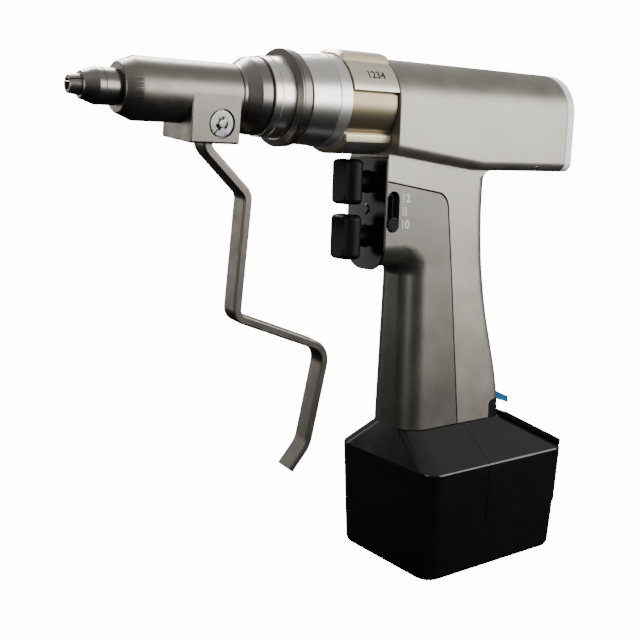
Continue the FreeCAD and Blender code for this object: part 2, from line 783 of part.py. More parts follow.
def selector_pocket():
    """Space behind the slot for the guide and the slider's foot."""
    wall = BLOCK_HALF_W - HANDLE_WALL
    half_h = SLOT_H / 2 + 2.5
    return box(BLOCK_FRONT_X - 1, SLOT_X + 5.2, -wall, -PLATE_BOSS_HALF_W - FIT, slot_z - half_h, slot_z + half_h)


def selector_guide():
    """Black plate behind the slot, with a slit that the slider runs in."""
    wall = BLOCK_HALF_W - HANDLE_WALL
    half_h = SLOT_H / 2 + 2.0
    plate = box(BLOCK_FRONT_X + 0.3, SLOT_X + 5.0, -wall, -wall + SELECTOR_GUIDE_T, slot_z - half_h, slot_z + half_h)
    slit = prism_y(rectangle(SLOT_X - 1.3, SLOT_X + 1.3, slot_z - SLOT_H / 2 + 2.0, slot_z + SLOT_H / 2 - 2.0, 1.2),
                   -wall - 1, -wall + 2)
    return clean(plate.cut(slit))


def speed_selector():
    """Thumb slider in the left slot, on a foot behind the guide."""
    knob_z = slot_z - SLOT_H / 2 + GAP + SELECTOR_KNOB_H / 2
    half_w = SLOT_W / 2 - GAP
    half_h = SELECTOR_KNOB_H / 2
    wall = BLOCK_HALF_W - HANDLE_WALL
    corners = rectangle(SLOT_X - half_w, SLOT_X + half_w, knob_z - half_h, knob_z + half_h, SLOT_CORNER_R - GAP)
    knob = prism_y(corners, -BLOCK_HALF_W - SELECTOR_PROUD, -wall - GAP / 2)
    knob = soften(knob, 0.5, lambda e: e.BoundBox.YMax < -BLOCK_HALF_W)
    for k in (-1, 0, 1):
        groove = cylinder_x(SLOT_X - half_w - 1, SLOT_X + half_w + 1, 0.45, -BLOCK_HALF_W - SELECTOR_PROUD,
                            knob_z + 1.7 * k)
        knob = knob.cut(groove)
    guide_inner = -wall + SELECTOR_GUIDE_T
    neck = prism_y(rectangle(SLOT_X - 1.0, SLOT_X + 1.0, knob_z - 1.4, knob_z + 1.4, 0.9),
                   -wall - GAP, guide_inner + GAP)
    foot = box(SLOT_X - 2.6, SLOT_X + 2.6, guide_inner + GAP / 2, -PLATE_BOSS_HALF_W - GAP / 2,
               knob_z - 2.6, knob_z + 2.6)
    return clean(knob.fuse(neck).fuse(foot))


# Barrel in front of the housing

def nose_tube():
    """Socket tube that the attachment plugs into; the collar turns on it."""
    pocket_r = NOSE_TUBE_BORE_R
    return turned([
        (barrel_front + 0.5, pocket_r),
        (barrel_front + 0.5, NOSE_TUBE_R),
        (HOUSING_FRONT_X, NOSE_TUBE_R),
        (HOUSING_FRONT_X, MOTOR_BORE_R - FIT),
        (nose_tube_rear, MOTOR_BORE_R - FIT),
        (nose_tube_rear, pocket_r),
    ])


def barrel_sleeve():
    """Fixed outer sleeve, a little wider towards the collar."""
    wide = BARREL_SLEEVE_R + 0.7
    return turned([
        (barrel_front, NOSE_TUBE_R + FIT),
        (barrel_front, BARREL_SLEEVE_R - 0.4),
        (barrel_front + 0.4, BARREL_SLEEVE_R),
        (barrel_rear, wide),
        (barrel_rear, NOSE_TUBE_R + FIT),
    ])


def sector(start_deg, end_deg, radius, x_low, x_high):
    """Wedge about the barrel axis; angles go up from the left side's horizontal."""
    start = math.radians(start_deg)
    end = math.radians(end_deg)
    middle = (start + end) / 2

    def at(angle, r):
        return V(x_low, -r * math.cos(angle), axis_z + r * math.sin(angle))

    arc = Part.Arc(at(start, radius), at(middle, radius), at(end, radius)).toShape()
    sides = [Part.LineSegment(at(end, radius), V(x_low, 0, axis_z)).toShape(),
             Part.LineSegment(V(x_low, 0, axis_z), at(start, radius)).toShape()]
    return Part.Face(Part.Wire([arc] + sides)).extrude(V(x_high - x_low, 0, 0))


def mode_collar():
    """Turning collar: drum, two grip ribs and two raised label lands."""
    inner = NOSE_TUBE_R + RUN
    drum = turned([
        (collar_ring_front, inner),
        (collar_ring_front, COLLAR_RING_R - 0.3),
        (collar_ring_front + 0.3, COLLAR_RING_R),
        (collar_front, COLLAR_RING_R),
        (collar_front, COLLAR_DRUM_R),
        (collar_rear, COLLAR_DRUM_R),
        (collar_rear, inner),
    ])
    half = COLLAR_RIB_SPAN / 2
    for centre in (90.0, 270.0):
        start = centre + COLLAR_TURN - half
        rib = sector(start, start + COLLAR_RIB_SPAN, COLLAR_RIB_R, collar_front - 0.4, collar_rear)
        rib = soften(rib, 0.7, lambda e: e.BoundBox.XMax < collar_front - 0.3 and e.Length > 10
                     and abs(e.CenterOfMass.z - axis_z) > COLLAR_LAND_R - 6)
        drum = drum.fuse(rib)
        land = sector(start - COLLAR_LAND_SPAN, start + 0.5, COLLAR_LAND_R, collar_front, collar_rear)
        drum = drum.fuse(land)
    bore = cylinder_x(collar_ring_front - 1, collar_rear + 1, inner)
    return clean(drum.cut(bore))


# Collet attachment

def coupling_seal():
    """Black ring between the attachment's flange and the barrel sleeve."""
    return barrel_tube(seal_front, barrel_front, SEAL_R, NOSE_TUBE_BORE_R + 0.2)


def attachment_flange():
    """Flange, hub and the spigot that plugs into the socket tube."""
    spigot_rear = barrel_front + SPIGOT_LENGTH
    pocket_front = spigot_rear - BEARING_T - 1
    hub_r = RING_BORE_R - FIT
    flange = turned([
        (ring_front, SPINDLE_R + 1.0),
        (ring_front, hub_r),
        (ring_rear, hub_r),
        (ring_rear, RING_R + 0.5),
        (ring_rear + 0.5, RING_R + 0.9),
        (flange_front, FLANGE_R),
        (seal_front - 0.3, FLANGE_R - 0.2),
        (seal_front, FLANGE_R - 0.5),
        (seal_front, NOSE_TUBE_BORE_R - FIT),
        (spigot_rear - 0.6, NOSE_TUBE_BORE_R - FIT),
        (spigot_rear, NOSE_TUBE_BORE_R - 0.7),
        (spigot_rear, SPINDLE_BEARING_R),
        (pocket_front, SPINDLE_BEARING_R),
        (pocket_front, SPINDLE_R + 1.0),
    ])
    angle = math.radians(-40)
    pin_r = (RING_R + FLANGE_R) / 2 + 0.6
    pin = Part.makeSphere(0.7, V(ring_rear + FLANGE_CONE * 0.62, -pin_r * math.cos(angle),
                                 axis_z + pin_r * math.sin(angle)))
    return clean(flange.fuse(pin))


def attachment_ring():
    """Polished clamp ring between the flange and the flare."""
    return turned([
        (ring_front + FIT, RING_BORE_R),
        (ring_front + FIT, RING_R - 0.5),
        (ring_front + FIT + 0.3, RING_R - 0.3),
        (ring_rear - FIT, RING_R),
        (ring_rear - FIT, RING_BORE_R),
    ])


def attachment_flare():
    """Dark flared body with the journal that the swivel sleeve turns on."""
    neck_front = flare_neck_rear - FLARE_NECK
    flare = turned([
        (journal_front, SPINDLE_R + 0.5),
        (journal_front, JOURNAL_R),
        (neck_front, JOURNAL_R),
        (neck_front, FLARE_NECK_R),
        (flare_neck_rear, FLARE_NECK_R),
        (flare_rim_front, FLARE_RIM_R - 0.4),
        (flare_rear, FLARE_RIM_R),
        (flare_rear, FLARE_RIM_R - 1.4),
        (ring_front - FIT, FLARE_RIM_R - 1.4),
        (ring_front - FIT, SPINDLE_BEARING_R),
        (ring_front - FIT - BEARING_T - 1, SPINDLE_BEARING_R),
        (ring_front - FIT - BEARING_T - 1, SPINDLE_R + 0.5),
    ])
    angle = math.radians(17)
    mid_x = flare_rim_front - 1.2
    mid_r = FLARE_RIM_R - 0.9
    dimple = Part.makeSphere(0.9, V(mid_x, -mid_r * math.cos(angle), axis_z + mid_r * math.sin(angle)))
    return clean(flare.cut(dimple))


def sealed_bearing(x_low, r_inner, r_outer):
    """Sealed ball bearing: one ring with stepped shields at both faces."""
    step = 0.4
    rim = min(1.2, (r_outer - r_inner) / 3)
    x_high = x_low + BEARING_T
    return turned([
        (x_low, r_inner), (x_low, r_inner + rim), (x_low + step, r_inner + rim),
        (x_low + step, r_outer - rim), (x_low, r_outer - rim), (x_low, r_outer),
        (x_high, r_outer), (x_high, r_outer - rim), (x_high - step, r_outer - rim),
        (x_high - step, r_inner + rim), (x_high, r_inner + rim), (x_high, r_inner),
    ])


def spindle_bearings():
    """One bearing in the flare and one in the attachment's spigot."""
    outer_r = SPINDLE_BEARING_R - FIT
    front = sealed_bearing(ring_front - FIT - BEARING_T - 0.5, SPINDLE_R + RUN, outer_r)
    rear = sealed_bearing(barrel_front + SPIGOT_LENGTH - BEARING_T - 0.5, SPINDLE_R + RUN, outer_r)
    return Part.makeCompound([front, rear])


# Swivel sleeve and lever, drawn upright and then swivelled

def swivel_sleeve():
    """Sleeve with its pivot block; the lever swings in the block's slot."""
    sleeve = turned([
        (sleeve_front, SLEEVE_FRONT_BORE_R),
        (sleeve_front, SLEEVE_FRONT_R - 0.5),
        (sleeve_front + 0.5, SLEEVE_FRONT_R),
        (sleeve_front + SLEEVE_CONE, SLEEVE_R),
        (sleeve_rear - 0.3, SLEEVE_R),
        (sleeve_rear, SLEEVE_R - 0.3),
        (sleeve_rear, JOURNAL_R + RUN),
        (journal_front - GAP, JOURNAL_R + RUN),
        (journal_front - GAP, SLEEVE_BORE_R),
        (sleeve_front + SLEEVE_STEP, SLEEVE_BORE_R),
        (sleeve_front + SLEEVE_STEP, SLEEVE_FRONT_BORE_R),
    ])
    foot_z = axis_z - BLOCK_DROP
    block = prism_x([
        (-SLEEVE_R, foot_z, 1.0), (SLEEVE_R, foot_z, 1.0), (SLEEVE_R, axis_z, 0), (-SLEEVE_R, axis_z, 0),
    ], block_front, block_rear)
    block = soften(block, 0.6, lambda e: e.BoundBox.XLength < 0.01 and e.BoundBox.ZMax < foot_z + 0.01)
    core = cylinder_x(block_front - 1, block_rear + 1, SLEEVE_R - 0.5)
    body = sleeve.fuse(block.cut(core))
    slot_half = LEVER_W / 2 + GAP
    body = body.cut(box(PIVOT_X - 5.6, PIVOT_X + 3.9, -slot_half, slot_half, foot_z - 1, axis_z - SLEEVE_BORE_R + 2))
    body = body.cut(cylinder_y(-SLEEVE_R - 1, SLEEVE_R + 1, PIVOT_PIN_R + FIT, PIVOT_X, pivot_z))
    body = body.cut(cylinder_y(-SLEEVE_R - 1, -SLEEVE_R + COUNTERBORE_DEPTH, COUNTERBORE_R, PIVOT_X, pivot_z))
    body = body.cut(cylinder_y(SLEEVE_R - COUNTERBORE_DEPTH, SLEEVE_R + 1, 3.4, PIVOT_X, pivot_z))
    return swivelled(clean(body))


def pivot_pin():
    """Headed pin across the block."""
    pin = cylinder_y(-SLEEVE_R - 0.4, SLEEVE_R - 0.2, PIVOT_PIN_R, PIVOT_X, pivot_z)
    head = cylinder_y(SLEEVE_R - COUNTERBORE_DEPTH, SLEEVE_R - 0.2, 3.1, PIVOT_X, pivot_z)
    pin = pin.fuse(head)
    pin = soften(pin, 0.4, lambda e: e.BoundBox.YMax < -SLEEVE_R - 0.39)
    return swivelled(clean(pin))


def pivot_clip():
    """E-shaped retaining ring: three prongs on the pin and a slit."""
    y_low = -SLEEVE_R + COUNTERBORE_DEPTH - CLIP_T
    y_high = -SLEEVE_R + COUNTERBORE_DEPTH
    ring = cylinder_y(y_low, y_high, CLIP_R, PIVOT_X, pivot_z)
    ring = ring.cut(cylinder_y(y_low - 1, y_high + 1, 2.75, PIVOT_X, pivot_z))
    for angle in (40.0, 160.0, 280.0):
        prong = box(PIVOT_X + PIVOT_PIN_R, PIVOT_X + 3.2, y_low, y_high, pivot_z - 0.9, pivot_z + 0.9)
        prong = prong.cut(cylinder_y(y_low - 1, y_high + 1, PIVOT_PIN_R + 0.02, PIVOT_X, pivot_z))
        prong.rotate(V(PIVOT_X, 0, pivot_z), V(0, 1, 0), -angle)
        ring = ring.fuse(prong)
    slit = box(PIVOT_X + 1.0, PIVOT_X + 6, y_low - 1, y_high + 1, pivot_z - 0.3, pivot_z + 0.3)
    slit.rotate(V(PIVOT_X, 0, pivot_z), V(0, 1, 0), -232.0)
    ring = soften(ring, 0.25, lambda e: e.BoundBox.YMax < y_low + 0.01 and e.Length > 25)
    return swivelled(clean(ring.cut(slit)))


def collet_lever():
    """Bent flat bar on a round eye, with a finger that moves the draw sleeve."""
    corners = [(x, axis_z + drop, r) for x, drop, r in LEVER_CORNERS]
    path = Part.Wire(rounded_edges(corners, side_plane(0.0), False))
    start = V(corners[0][0], 0, corners[0][1])
    along = (V(corners[1][0], 0, corners[1][1]) - start).normalize()
    across = V(0, 1, 0)
    normal = along.cross(across)

    def place(u, v):
        return start + across * u + normal * v

    half_w = LEVER_W / 2
    half_t = LEVER_T / 2
    section = outline(rectangle(-half_w, half_w, -half_t, half_t, LEVER_EDGE_R), place)
    bar = path.makePipeShell([section], True, False)
    eye = cylinder_y(-half_w, half_w, LEVER_EYE_R, PIVOT_X, pivot_z)
    finger = box(PIVOT_X - FINGER_T / 2, PIVOT_X + FINGER_T / 2, -FINGER_W / 2, FINGER_W / 2,
                 pivot_z, axis_z - FINGER_DROP)
    finger = soften(finger, 0.8, lambda e: e.BoundBox.YLength > 1 and e.CenterOfMass.z > pivot_z + 1)
    web = prism_y([
        (PIVOT_X - LEVER_EYE_R * 0.9, pivot_z, 0), (PIVOT_X + LEVER_EYE_R * 0.9, pivot_z, 0),
        (PIVOT_X + 0.6, pivot_z - 5, 0), (PIVOT_X - 3.6, pivot_z - 5, 0),
    ], -half_w, half_w)
    lever = bar.fuse(eye).fuse(web).fuse(finger)
    lever = lever.cut(cylinder_y(-half_w - 1, half_w + 1, PIVOT_PIN_R + RUN, PIVOT_X, pivot_z))
    lever = lever.cut(box(PIVOT_X - 8, PIVOT_X + 8, -half_w - 1, half_w + 1, axis_z - FINGER_DROP, axis_z))
    return swivelled(clean(lever))


def draw_sleeve():
    """Grooved sleeve that closes the collet when the lever is squeezed."""
    middle = PIVOT_X
    groove = FINGER_T / 2 + 0.45
    front = middle - DRAW_FRONT
    rear = journal_front - GAP
    bore = SPINDLE_R + RUN
    return turned([
        (front, bore), (front, DRAW_FLANGE_R), (middle - groove, DRAW_FLANGE_R),
        (middle - groove, DRAW_GROOVE_R), (middle + groove, DRAW_GROOVE_R),
        (middle + groove, DRAW_FLANGE_R), (rear, DRAW_FLANGE_R), (rear, bore),
    ])


def collet_spring():
    """Return spring ahead of the draw sleeve."""
    front = sleeve_front + SLEEVE_STEP + GAP
    length = PIVOT_X - DRAW_FRONT - 1.5 - front
    place = FreeCAD.Placement(V(front, 0, axis_z), FreeCAD.Rotation(V(0, 0, 1), V(1, 0, 0)))
    return coil(length, SPINDLE_R + 1.3, 1.0, 6, place)


# Spindle

def collet_tip():
    """Split collet that grips the wire."""
    tip = turned([
        (tip_front, BORE_R), (tip_front, TIP_R - 0.35), (tip_front + 0.35, TIP_R),
        (nose_cone_front + 0.4, TIP_REAR_R - 0.6), (nose_cone_front + 0.4, COLLET_R),
        (nose_rear, COLLET_R), (nose_rear, BORE_R),
    ])
    for angle in (30.0, 150.0, 270.0):
        slit = box(tip_front - 1, nose_cone_rear, 0, TIP_REAR_R + 1, axis_z - COLLET_SLIT / 2, axis_z + COLLET_SLIT / 2)
        slit.rotate(V(0, 0, axis_z), V(1, 0, 0), angle)
        tip = tip.cut(slit)
    return clean(tip)


def nose_cone():
    """Cone and collar that close the collet, on a hub inside the sleeve."""
    hub_rear = nose_rear + NOSE_TO_SLEEVE + NOSE_HUB
    return turned([
        (nose_cone_front + 0.4 + FIT, COLLET_R + FIT),
        (nose_cone_front + 0.4 + FIT, TIP_REAR_R + 0.1),
        (nose_cone_front + 0.9, NOSE_CONE_R),
        (nose_cone_rear, NOSE_R),
        (nose_rear - 0.3, NOSE_R),
        (nose_rear, NOSE_R - 0.3),
        (nose_rear, SLEEVE_FRONT_BORE_R - RUN),
        (hub_rear, SLEEVE_FRONT_BORE_R - RUN),
        (hub_rear, COLLET_R + FIT),
    ])


def hexagon(flats, x_low, x_high):
    """Hexagonal bar on the barrel axis."""
    radius = flats / math.sqrt(3)
    corners = [(radius * math.cos(math.radians(60 * k)), axis_z + radius * math.sin(math.radians(60 * k)), 0)
               for k in range(6)]
    return prism_x(corners, x_low, x_high)


def collet_spindle():
    """Hollow shaft from the nose to the drive socket, with a hexagonal tail."""
    front = nose_rear + NOSE_TO_SLEEVE + NOSE_HUB + FIT
    hex_front = barrel_front + SPIGOT_LENGTH + GAP
    shaft = cylinder_x(front, hex_front, SPINDLE_R)
    tail = hexagon(HEX_FLATS, hex_front, hex_front + 9.0)
    neck = barrel_tube(nose_rear + FIT, front, COLLET_R, SPINDLE_BORE_R)
    spindle = shaft.fuse(tail).fuse(neck)
    return clean(spindle.cut(cylinder_x(nose_rear - 1, hex_front + 20, SPINDLE_BORE_R)))


def drive_socket():
    """Cup that takes the spindle's hexagon, fixed on the gearbox output."""
    front = barrel_front + SPIGOT_LENGTH + 2 * GAP
    rear = carrier_front - 14.0
    cup = cylinder_x(front, rear, SOCKET_R)
    cup = cup.cut(hexagon(HEX_FLATS + 2 * FIT, front - 1, front + 9.6))
    cup = cup.cut(cylinder_x(front - 1, rear + 1, SPINDLE_BORE_R))
    return clean(cup)


def planet_carrier():
    """Output shaft, disc and the three pins that the planets turn on."""
    front = carrier_front - 14.0
    body = cylinder_x(front, carrier_front, CARRIER_SHAFT_R).fuse(cylinder_x(carrier_front, carrier_rear, CARRIER_R))
    for k in range(PLANETS):
        angle = 2 * math.pi * k / PLANETS
        y = planet_orbit_r * math.sin(angle)
        z = axis_z + planet_orbit_r * math.cos(angle)
        body = body.fuse(cylinder_x(carrier_rear - 0.1, gear_rear + 0.2, CARRIER_PIN_R, y, z))
    return clean(body.cut(cylinder_x(front - 1, gear_rear + 1, SPINDLE_BORE_R)))


def output_bearing():
    """Bearing of the gearbox output in the socket tube."""
    return sealed_bearing(carrier_front - GAP - BEARING_T - 1, CARRIER_SHAFT_R + RUN, NOSE_TUBE_BORE_R - FIT)


# Gears

def involute_point(base_r, radius):
    """Polar angle turned by an involute between its base circle and a radius."""
    if radius <= base_r:
        return 0.0
    roll = math.sqrt((radius / base_r) ** 2 - 1)
    return roll - math.atan(roll)


def gear_outline(teeth, inner_r, outer_r, thinning):
    """Corner list of an involute wheel, first tooth on the +Z side; thinning narrows each tooth."""
    pitch_r = MODULE * teeth / 2
    base_r = pitch_r * math.cos(math.radians(PRESSURE_DEG))
    half_pitch = math.pi / (2 * teeth) - thinning / (2 * pitch_r)
    at_pitch = involute_point(base_r, pitch_r)
    radii = [inner_r, pitch_r, outer_r]
    corners = []
    for tooth in range(teeth):
        middle = 2 * math.pi * tooth / teeth
        rising = [(r, middle - half_pitch - at_pitch + involute_point(base_r, r)) for r in radii]
        falling = [(r, middle + half_pitch + at_pitch - involute_point(base_r, r)) for r in reversed(radii)]
        corners += [(r * math.sin(a), axis_z + r * math.cos(a), 0) for r, a in rising + falling]
    return corners


def sun_gear():
    """Pinion on the motor shaft."""
    pitch_r = MODULE * SUN_TEETH / 2
    corners = gear_outline(SUN_TEETH, pitch_r - TOOTH_DEDENDUM * MODULE, pitch_r + TOOTH_ADDENDUM * MODULE, BACKLASH)
    wheel = prism_x(corners, gear_front, gear_rear)
    return wheel.cut(cylinder_x(gear_front - 1, gear_rear + 1, SHAFT_R + FIT))


def planet_gear(index):
    """Planet on its pin, a tooth gap facing the sun and the ring."""
    pitch_r = MODULE * PLANET_TEETH / 2
    corners = gear_outline(PLANET_TEETH, pitch_r - TOOTH_DEDENDUM * MODULE,
                           pitch_r + TOOTH_ADDENDUM * MODULE, BACKLASH)
    wheel = prism_x(corners, gear_front, gear_rear)
    wheel.rotate(V(0, 0, axis_z), V(1, 0, 0), 180.0 / PLANET_TEETH)
    wheel.translate(V(0, 0, planet_orbit_r))
    wheel = wheel.cut(cylinder_x(gear_front - 1, gear_rear + 1, CARRIER_PIN_R + FIT, 0.0, axis_z + planet_orbit_r))
    wheel.rotate(V(0, 0, axis_z), V(1, 0, 0), -360.0 * index / PLANETS)
    return wheel


def ring_gear():
    """Fixed ring with inward teeth."""
    pitch_r = MODULE * RING_TEETH / 2
    corners = gear_outline(RING_TEETH, pitch_r - TOOTH_ADDENDUM * MODULE, pitch_r + TOOTH_DEDENDUM * MODULE, -BACKLASH)
    space = prism_x(corners, ring_gear_front - 1, ring_gear_rear + 1)
    space.rotate(V(0, 0, axis_z), V(1, 0, 0), 180.0 / RING_TEETH)
    return cylinder_x(ring_gear_front, ring_gear_rear, MOTOR_BORE_R - FIT).cut(space)


# Motor, electronics and leads

def bulkhead(x_low, x_high, bore_r):
    """Disc in the barrel with a seat for a bearing."""
    return barrel_tube(x_low, x_high, MOTOR_BORE_R - FIT, bore_r)


def motor_front_plate():
    """Carries the front rotor bearing."""
    return bulkhead(ring_gear_rear + FIT, front_plate_rear, 8.0)


def motor_rear_plate():
    """Carries the rear rotor bearing."""
    return bulkhead(rear_plate_front, rear_plate_rear, 8.0)


def rotor_bearings():
    """Two small bearings of the rotor shaft."""
    front = sealed_bearing(front_plate_rear - BEARING_T + 1.2, SHAFT_R + RUN, 8.0 - FIT)
    rear = sealed_bearing(rear_plate_front - 0.6, SHAFT_R + RUN, 8.0 - FIT)
    return Part.makeCompound([front, rear])


def stator_core():
    """Laminated iron ring of the motor."""
    return barrel_tube(stator_front, stator_rear, MOTOR_BORE_R - FIT, STATOR_BORE_R)


def stator_winding():
    """Copper winding inside the core, with end turns past both faces."""
    end = 1.2
    return barrel_tube(stator_front - end, stator_rear + end, STATOR_BORE_R - FIT, WINDING_BORE_R)


def rotor_magnet():
    """Magnet ring on the shaft."""
    return barrel_tube(stator_front + 2, stator_rear - 2, ROTOR_R, SHAFT_R + FIT)


def rotor_shaft():
    """Hollow motor shaft; the wire tube passes through it."""
    return barrel_tube(gear_front, rear_plate_rear + 0.6, SHAFT_R, SPINDLE_BORE_R)


def cannula_tube():
    """Fixed inner tube that leads the wire out of the rear."""
    return barrel_tube(carrier_front - 12.0, cap_rear - CAP_BORE_LENGTH - CAP_FLARE - FIT, CANNULA_R, CANNULA_BORE_R)


def controller_board():
    """Round circuit board behind the motor with its larger components."""
    board = barrel_tube(board_front, board_front + BOARD_T, BOARD_R, CANNULA_R + 2.0)
    for angle in (215, 325):
        a = math.radians(angle)
        y = 9.6 * math.cos(a)
        z = axis_z + 9.6 * math.sin(a)
        board = board.fuse(box(board_front + BOARD_T, board_front + BOARD_T + 3.2, y - 2.2, y + 2.2, z - 2.2, z + 2.2))
    board = board.fuse(box(board_front + BOARD_T, board_front + BOARD_T + 3.0, -6.4, 6.4, axis_z - 12.5, axis_z - 6.5))
    return clean(board)


def capacitors():
    """Row of smoothing capacitors standing on the board."""
    cans = []
    for angle in (15, 65, 115, 165):
        a = math.radians(angle)
        y = CAPACITOR_ORBIT_R * math.cos(a)
        z = axis_z + CAPACITOR_ORBIT_R * math.sin(a)
        cans.append(cylinder_x(board_front + BOARD_T, board_front + BOARD_T + CAPACITOR_LENGTH, CAPACITOR_R, y, z))
    return Part.makeCompound(cans)


def power_leads():
    """Two leads from the contact block up the handle to the back of the board."""
    leads = []
    low_z = housing_bottom_z + BELLY_WALL + 4
    plug_x = board_front + BOARD_T + 3.0
    rise_x = plug_x + 8.0
    for side in (-1, 1):
        y = side * 4.0
        corners = [
            (BLADE_X, tower_top_z, 0),
            (BLADE_X, low_z, 6.0),
            (rise_x, low_z, 4.0),
            (rise_x, axis_z - 9.5, 4.0),
            (plug_x, axis_z - 9.5, 0),
        ]
        path = Part.Wire(rounded_edges(corners, side_plane(y), False))
        section = Part.Wire([Part.makeCircle(LEAD_R, V(BLADE_X, y, tower_top_z), V(0, 0, 1))])
        leads.append(path.makePipeShell([section], True, False))
    return Part.makeCompound(leads)


# Handle foot: contacts and latch

def contact_block():
    """Insulator that closes the handle's foot and holds the contact blades."""
    half_w = BASE_HALF_W - HANDLE_WALL - 0.5
    floor_t = 3.0
    block = handle_cavity(HANDLE_WALL + 2 * FIT).common(box(BLOCK_FRONT_X, NOTCH_X - HANDLE_WALL, -half_w, half_w,
                                       base_z, base_z + floor_t))
    tower = prism_x(rectangle(-10.0, 10.0, base_z + 1, tower_top_z, 1.5), BLADE_X - 8.0, BLADE_X + 8.0)
    block = block.fuse(tower)
    for side in (-1, 1):
        y = side * BLADE_SPREAD / 2
        block = block.cut(box(BLADE_X - BLADE_W / 2, BLADE_X + BLADE_W / 2, y - BLADE_T / 2, y + BLADE_T / 2,
                              base_z - 1, base_z + 10))
    return clean(block)


def contact_blades():
    """Two flat contacts that reach down into the battery."""
    blades = []
    for side in (-1, 1):
        y = side * BLADE_SPREAD / 2
        blades.append(box(BLADE_X - BLADE_W / 2, BLADE_X + BLADE_W / 2, y - BLADE_T / 2, y + BLADE_T / 2,
                          base_z - BLADE_REACH, base_z + 10))
    return Part.makeCompound(blades)


def latch_housing():
    """Black bracket that fills the handle's notch and carries the latch pin."""
    outer = handle_solid(0.0, GRIP_FRONT_ROUND, GRIP_REAR_ROUND)
    region = prism_y([
        (NOTCH_X + GAP, base_z, 0), (NOTCH_X + 30, base_z, 0),
        (NOTCH_X + 30, notch_top_z - GAP, 0), (NOTCH_X + GAP, notch_top_z - GAP, NOTCH_CORNER_R - GAP),
    ], -BASE_HALF_W + 0.4, BASE_HALF_W - 0.4)
    bracket = outer.common(region)
    half = LATCH_W / 2 + GAP
    bracket = bracket.cut(box(NOTCH_X - 1, NOTCH_X + 30, -half, half, base_z - 1, notch_top_z + 1))
    roof = box(NOTCH_X + GAP + NOTCH_CORNER_R, LATCH_PIVOT_X, -half - 0.5, half + 0.5,
               notch_top_z - GAP - LATCH_ROOF_T, notch_top_z - GAP)
    bracket = bracket.fuse(roof)
    bracket = bracket.cut(cylinder_y(-10.0, 10.0, LATCH_PIN_R + FIT, LATCH_PIVOT_X, latch_pivot_z))
    return clean(bracket)


def latch_pin():
    """Pin across the bracket."""
    return cylinder_y(-9.9, 9.9, LATCH_PIN_R, LATCH_PIVOT_X, latch_pivot_z)


def release_latch():
    """Blue thumb tab, its hub and the hook that holds the battery."""
    half_w = LATCH_W / 2
    x = LATCH_PIVOT_X
    z = latch_pivot_z
    side_view = prism_y([
        (x, z - 1.6, 0),
        (x + LATCH_ROOT, z - 0.6, 1.0),
        (x + LATCH_ROOT + 2.4, z + 1.8, 1.0),
        (x + LATCH_REACH, z - 3.6, 1.3),
        (x + LATCH_REACH, z - 0.4, 1.3),
        (x + LATCH_ROOT + 2.4, z + 5.6, 1.0),
        (x + LATCH_ROOT, z + 2.2, 1.0),
        (x, z + 1.6, 0),
    ], -half_w, half_w)
    plan = outline([(x - 1, -half_w, 0), (x + LATCH_REACH, -half_w, 3.0),
                    (x + LATCH_REACH, half_w, 3.0), (x - 1, half_w, 0)], floor_plane(z - 10))
    tab = side_view.common(Part.Face(plan).extrude(V(0, 0, 20)))
    hub = cylinder_y(-half_w, half_w, LATCH_HUB_R, x, z)
    front = x - HOOK_FRONT
    back = front + HOOK_T
    tip_z = z - HOOK_DROP
    hook = prism_y([
        (front, z, 0), (back, z, 0), (back, tip_z + 2.4, 0),
        (back + 1.0, tip_z + 0.8, 0.3), (back, tip_z, 0.3), (front, tip_z, 0.5),
    ], -HOOK_HALF_W, HOOK_HALF_W)
    latch = tab.fuse(hub).fuse(hook)
    return clean(latch.cut(cylinder_y(-half_w - 1, half_w + 1, LATCH_PIN_R + RUN, x, z)))


# Battery

def battery_wire(z, length, width, radius, centre_x=0.0):
    """Rounded rectangle at a height."""
    half_l = length / 2
    half_w = width / 2
    return outline(rectangle(centre_x - half_l, centre_x + half_l, -half_w, half_w, radius), floor_plane(z))


def plateau_centre():
    """Middle of the roof's flat top along the object."""
    return (PLATEAU_REAR_X + PLATEAU_FRONT_X) / 2


def battery_body(inset, proud=0.0):
    """Drafted box under a hipped roof; inset moves the walls inwards, proud widens the foot."""
    foot = battery_wire(inset, battery_l - 2 * (BATTERY_DRAFT + inset - proud),
                        battery_w - 2 * (BATTERY_DRAFT + inset - proud), BATTERY_CORNER_R - inset)
    eave = battery_wire(eave_z - 0.4 * inset, battery_l - 2 * inset, battery_w - 2 * inset,
                        BATTERY_CORNER_R - inset)
    plateau_l = PLATEAU_REAR_X - PLATEAU_FRONT_X - 2 * inset
    plateau = battery_wire(battery_top_z - inset, plateau_l, 2 * (PLATEAU_HALF_W - inset),
                           BATTERY_CORNER_R - inset, plateau_centre())
    walls = Part.makeLoft([foot, eave], True, True)
    roof = Part.makeLoft([eave, plateau], True, True)
    return walls.fuse(roof).removeSplitter()


def rounded_battery():
    """Battery with its foot and eave edges rounded."""
    body = battery_body(0.0)
    body = soften(body, BATTERY_EAVE_R, lambda e: abs(e.CenterOfMass.z - eave_z) < 0.05
                  and e.BoundBox.ZLength < 0.05)
    return soften(body, BATTERY_FOOT_R, lambda e: e.BoundBox.ZMax < 0.05)


def cover_zone(offset):
    """Region of the rear cover; offset shrinks it."""
    return box(COVER_PARTING_X + offset, battery_l, -battery_w, battery_w, COVER_SKIRT_Z + offset, battery_top_z + 5)


def latch_pocket():
    """Pocket in the battery's top for the latch's hook."""
    return box(LATCH_PIVOT_X - 5.0, LATCH_PIVOT_X + 2.6, -HOOK_HALF_W - 2 * GAP, HOOK_HALF_W + 2 * GAP,
               pocket_floor_z, battery_top_z + 1)


def terminal_well():
    """Well in the battery's top for the contact blades."""
    return box(well_front_x, COVER_PARTING_X - WELL_WALL, -well_half_w, well_half_w, well_floor_z, battery_top_z + 1)


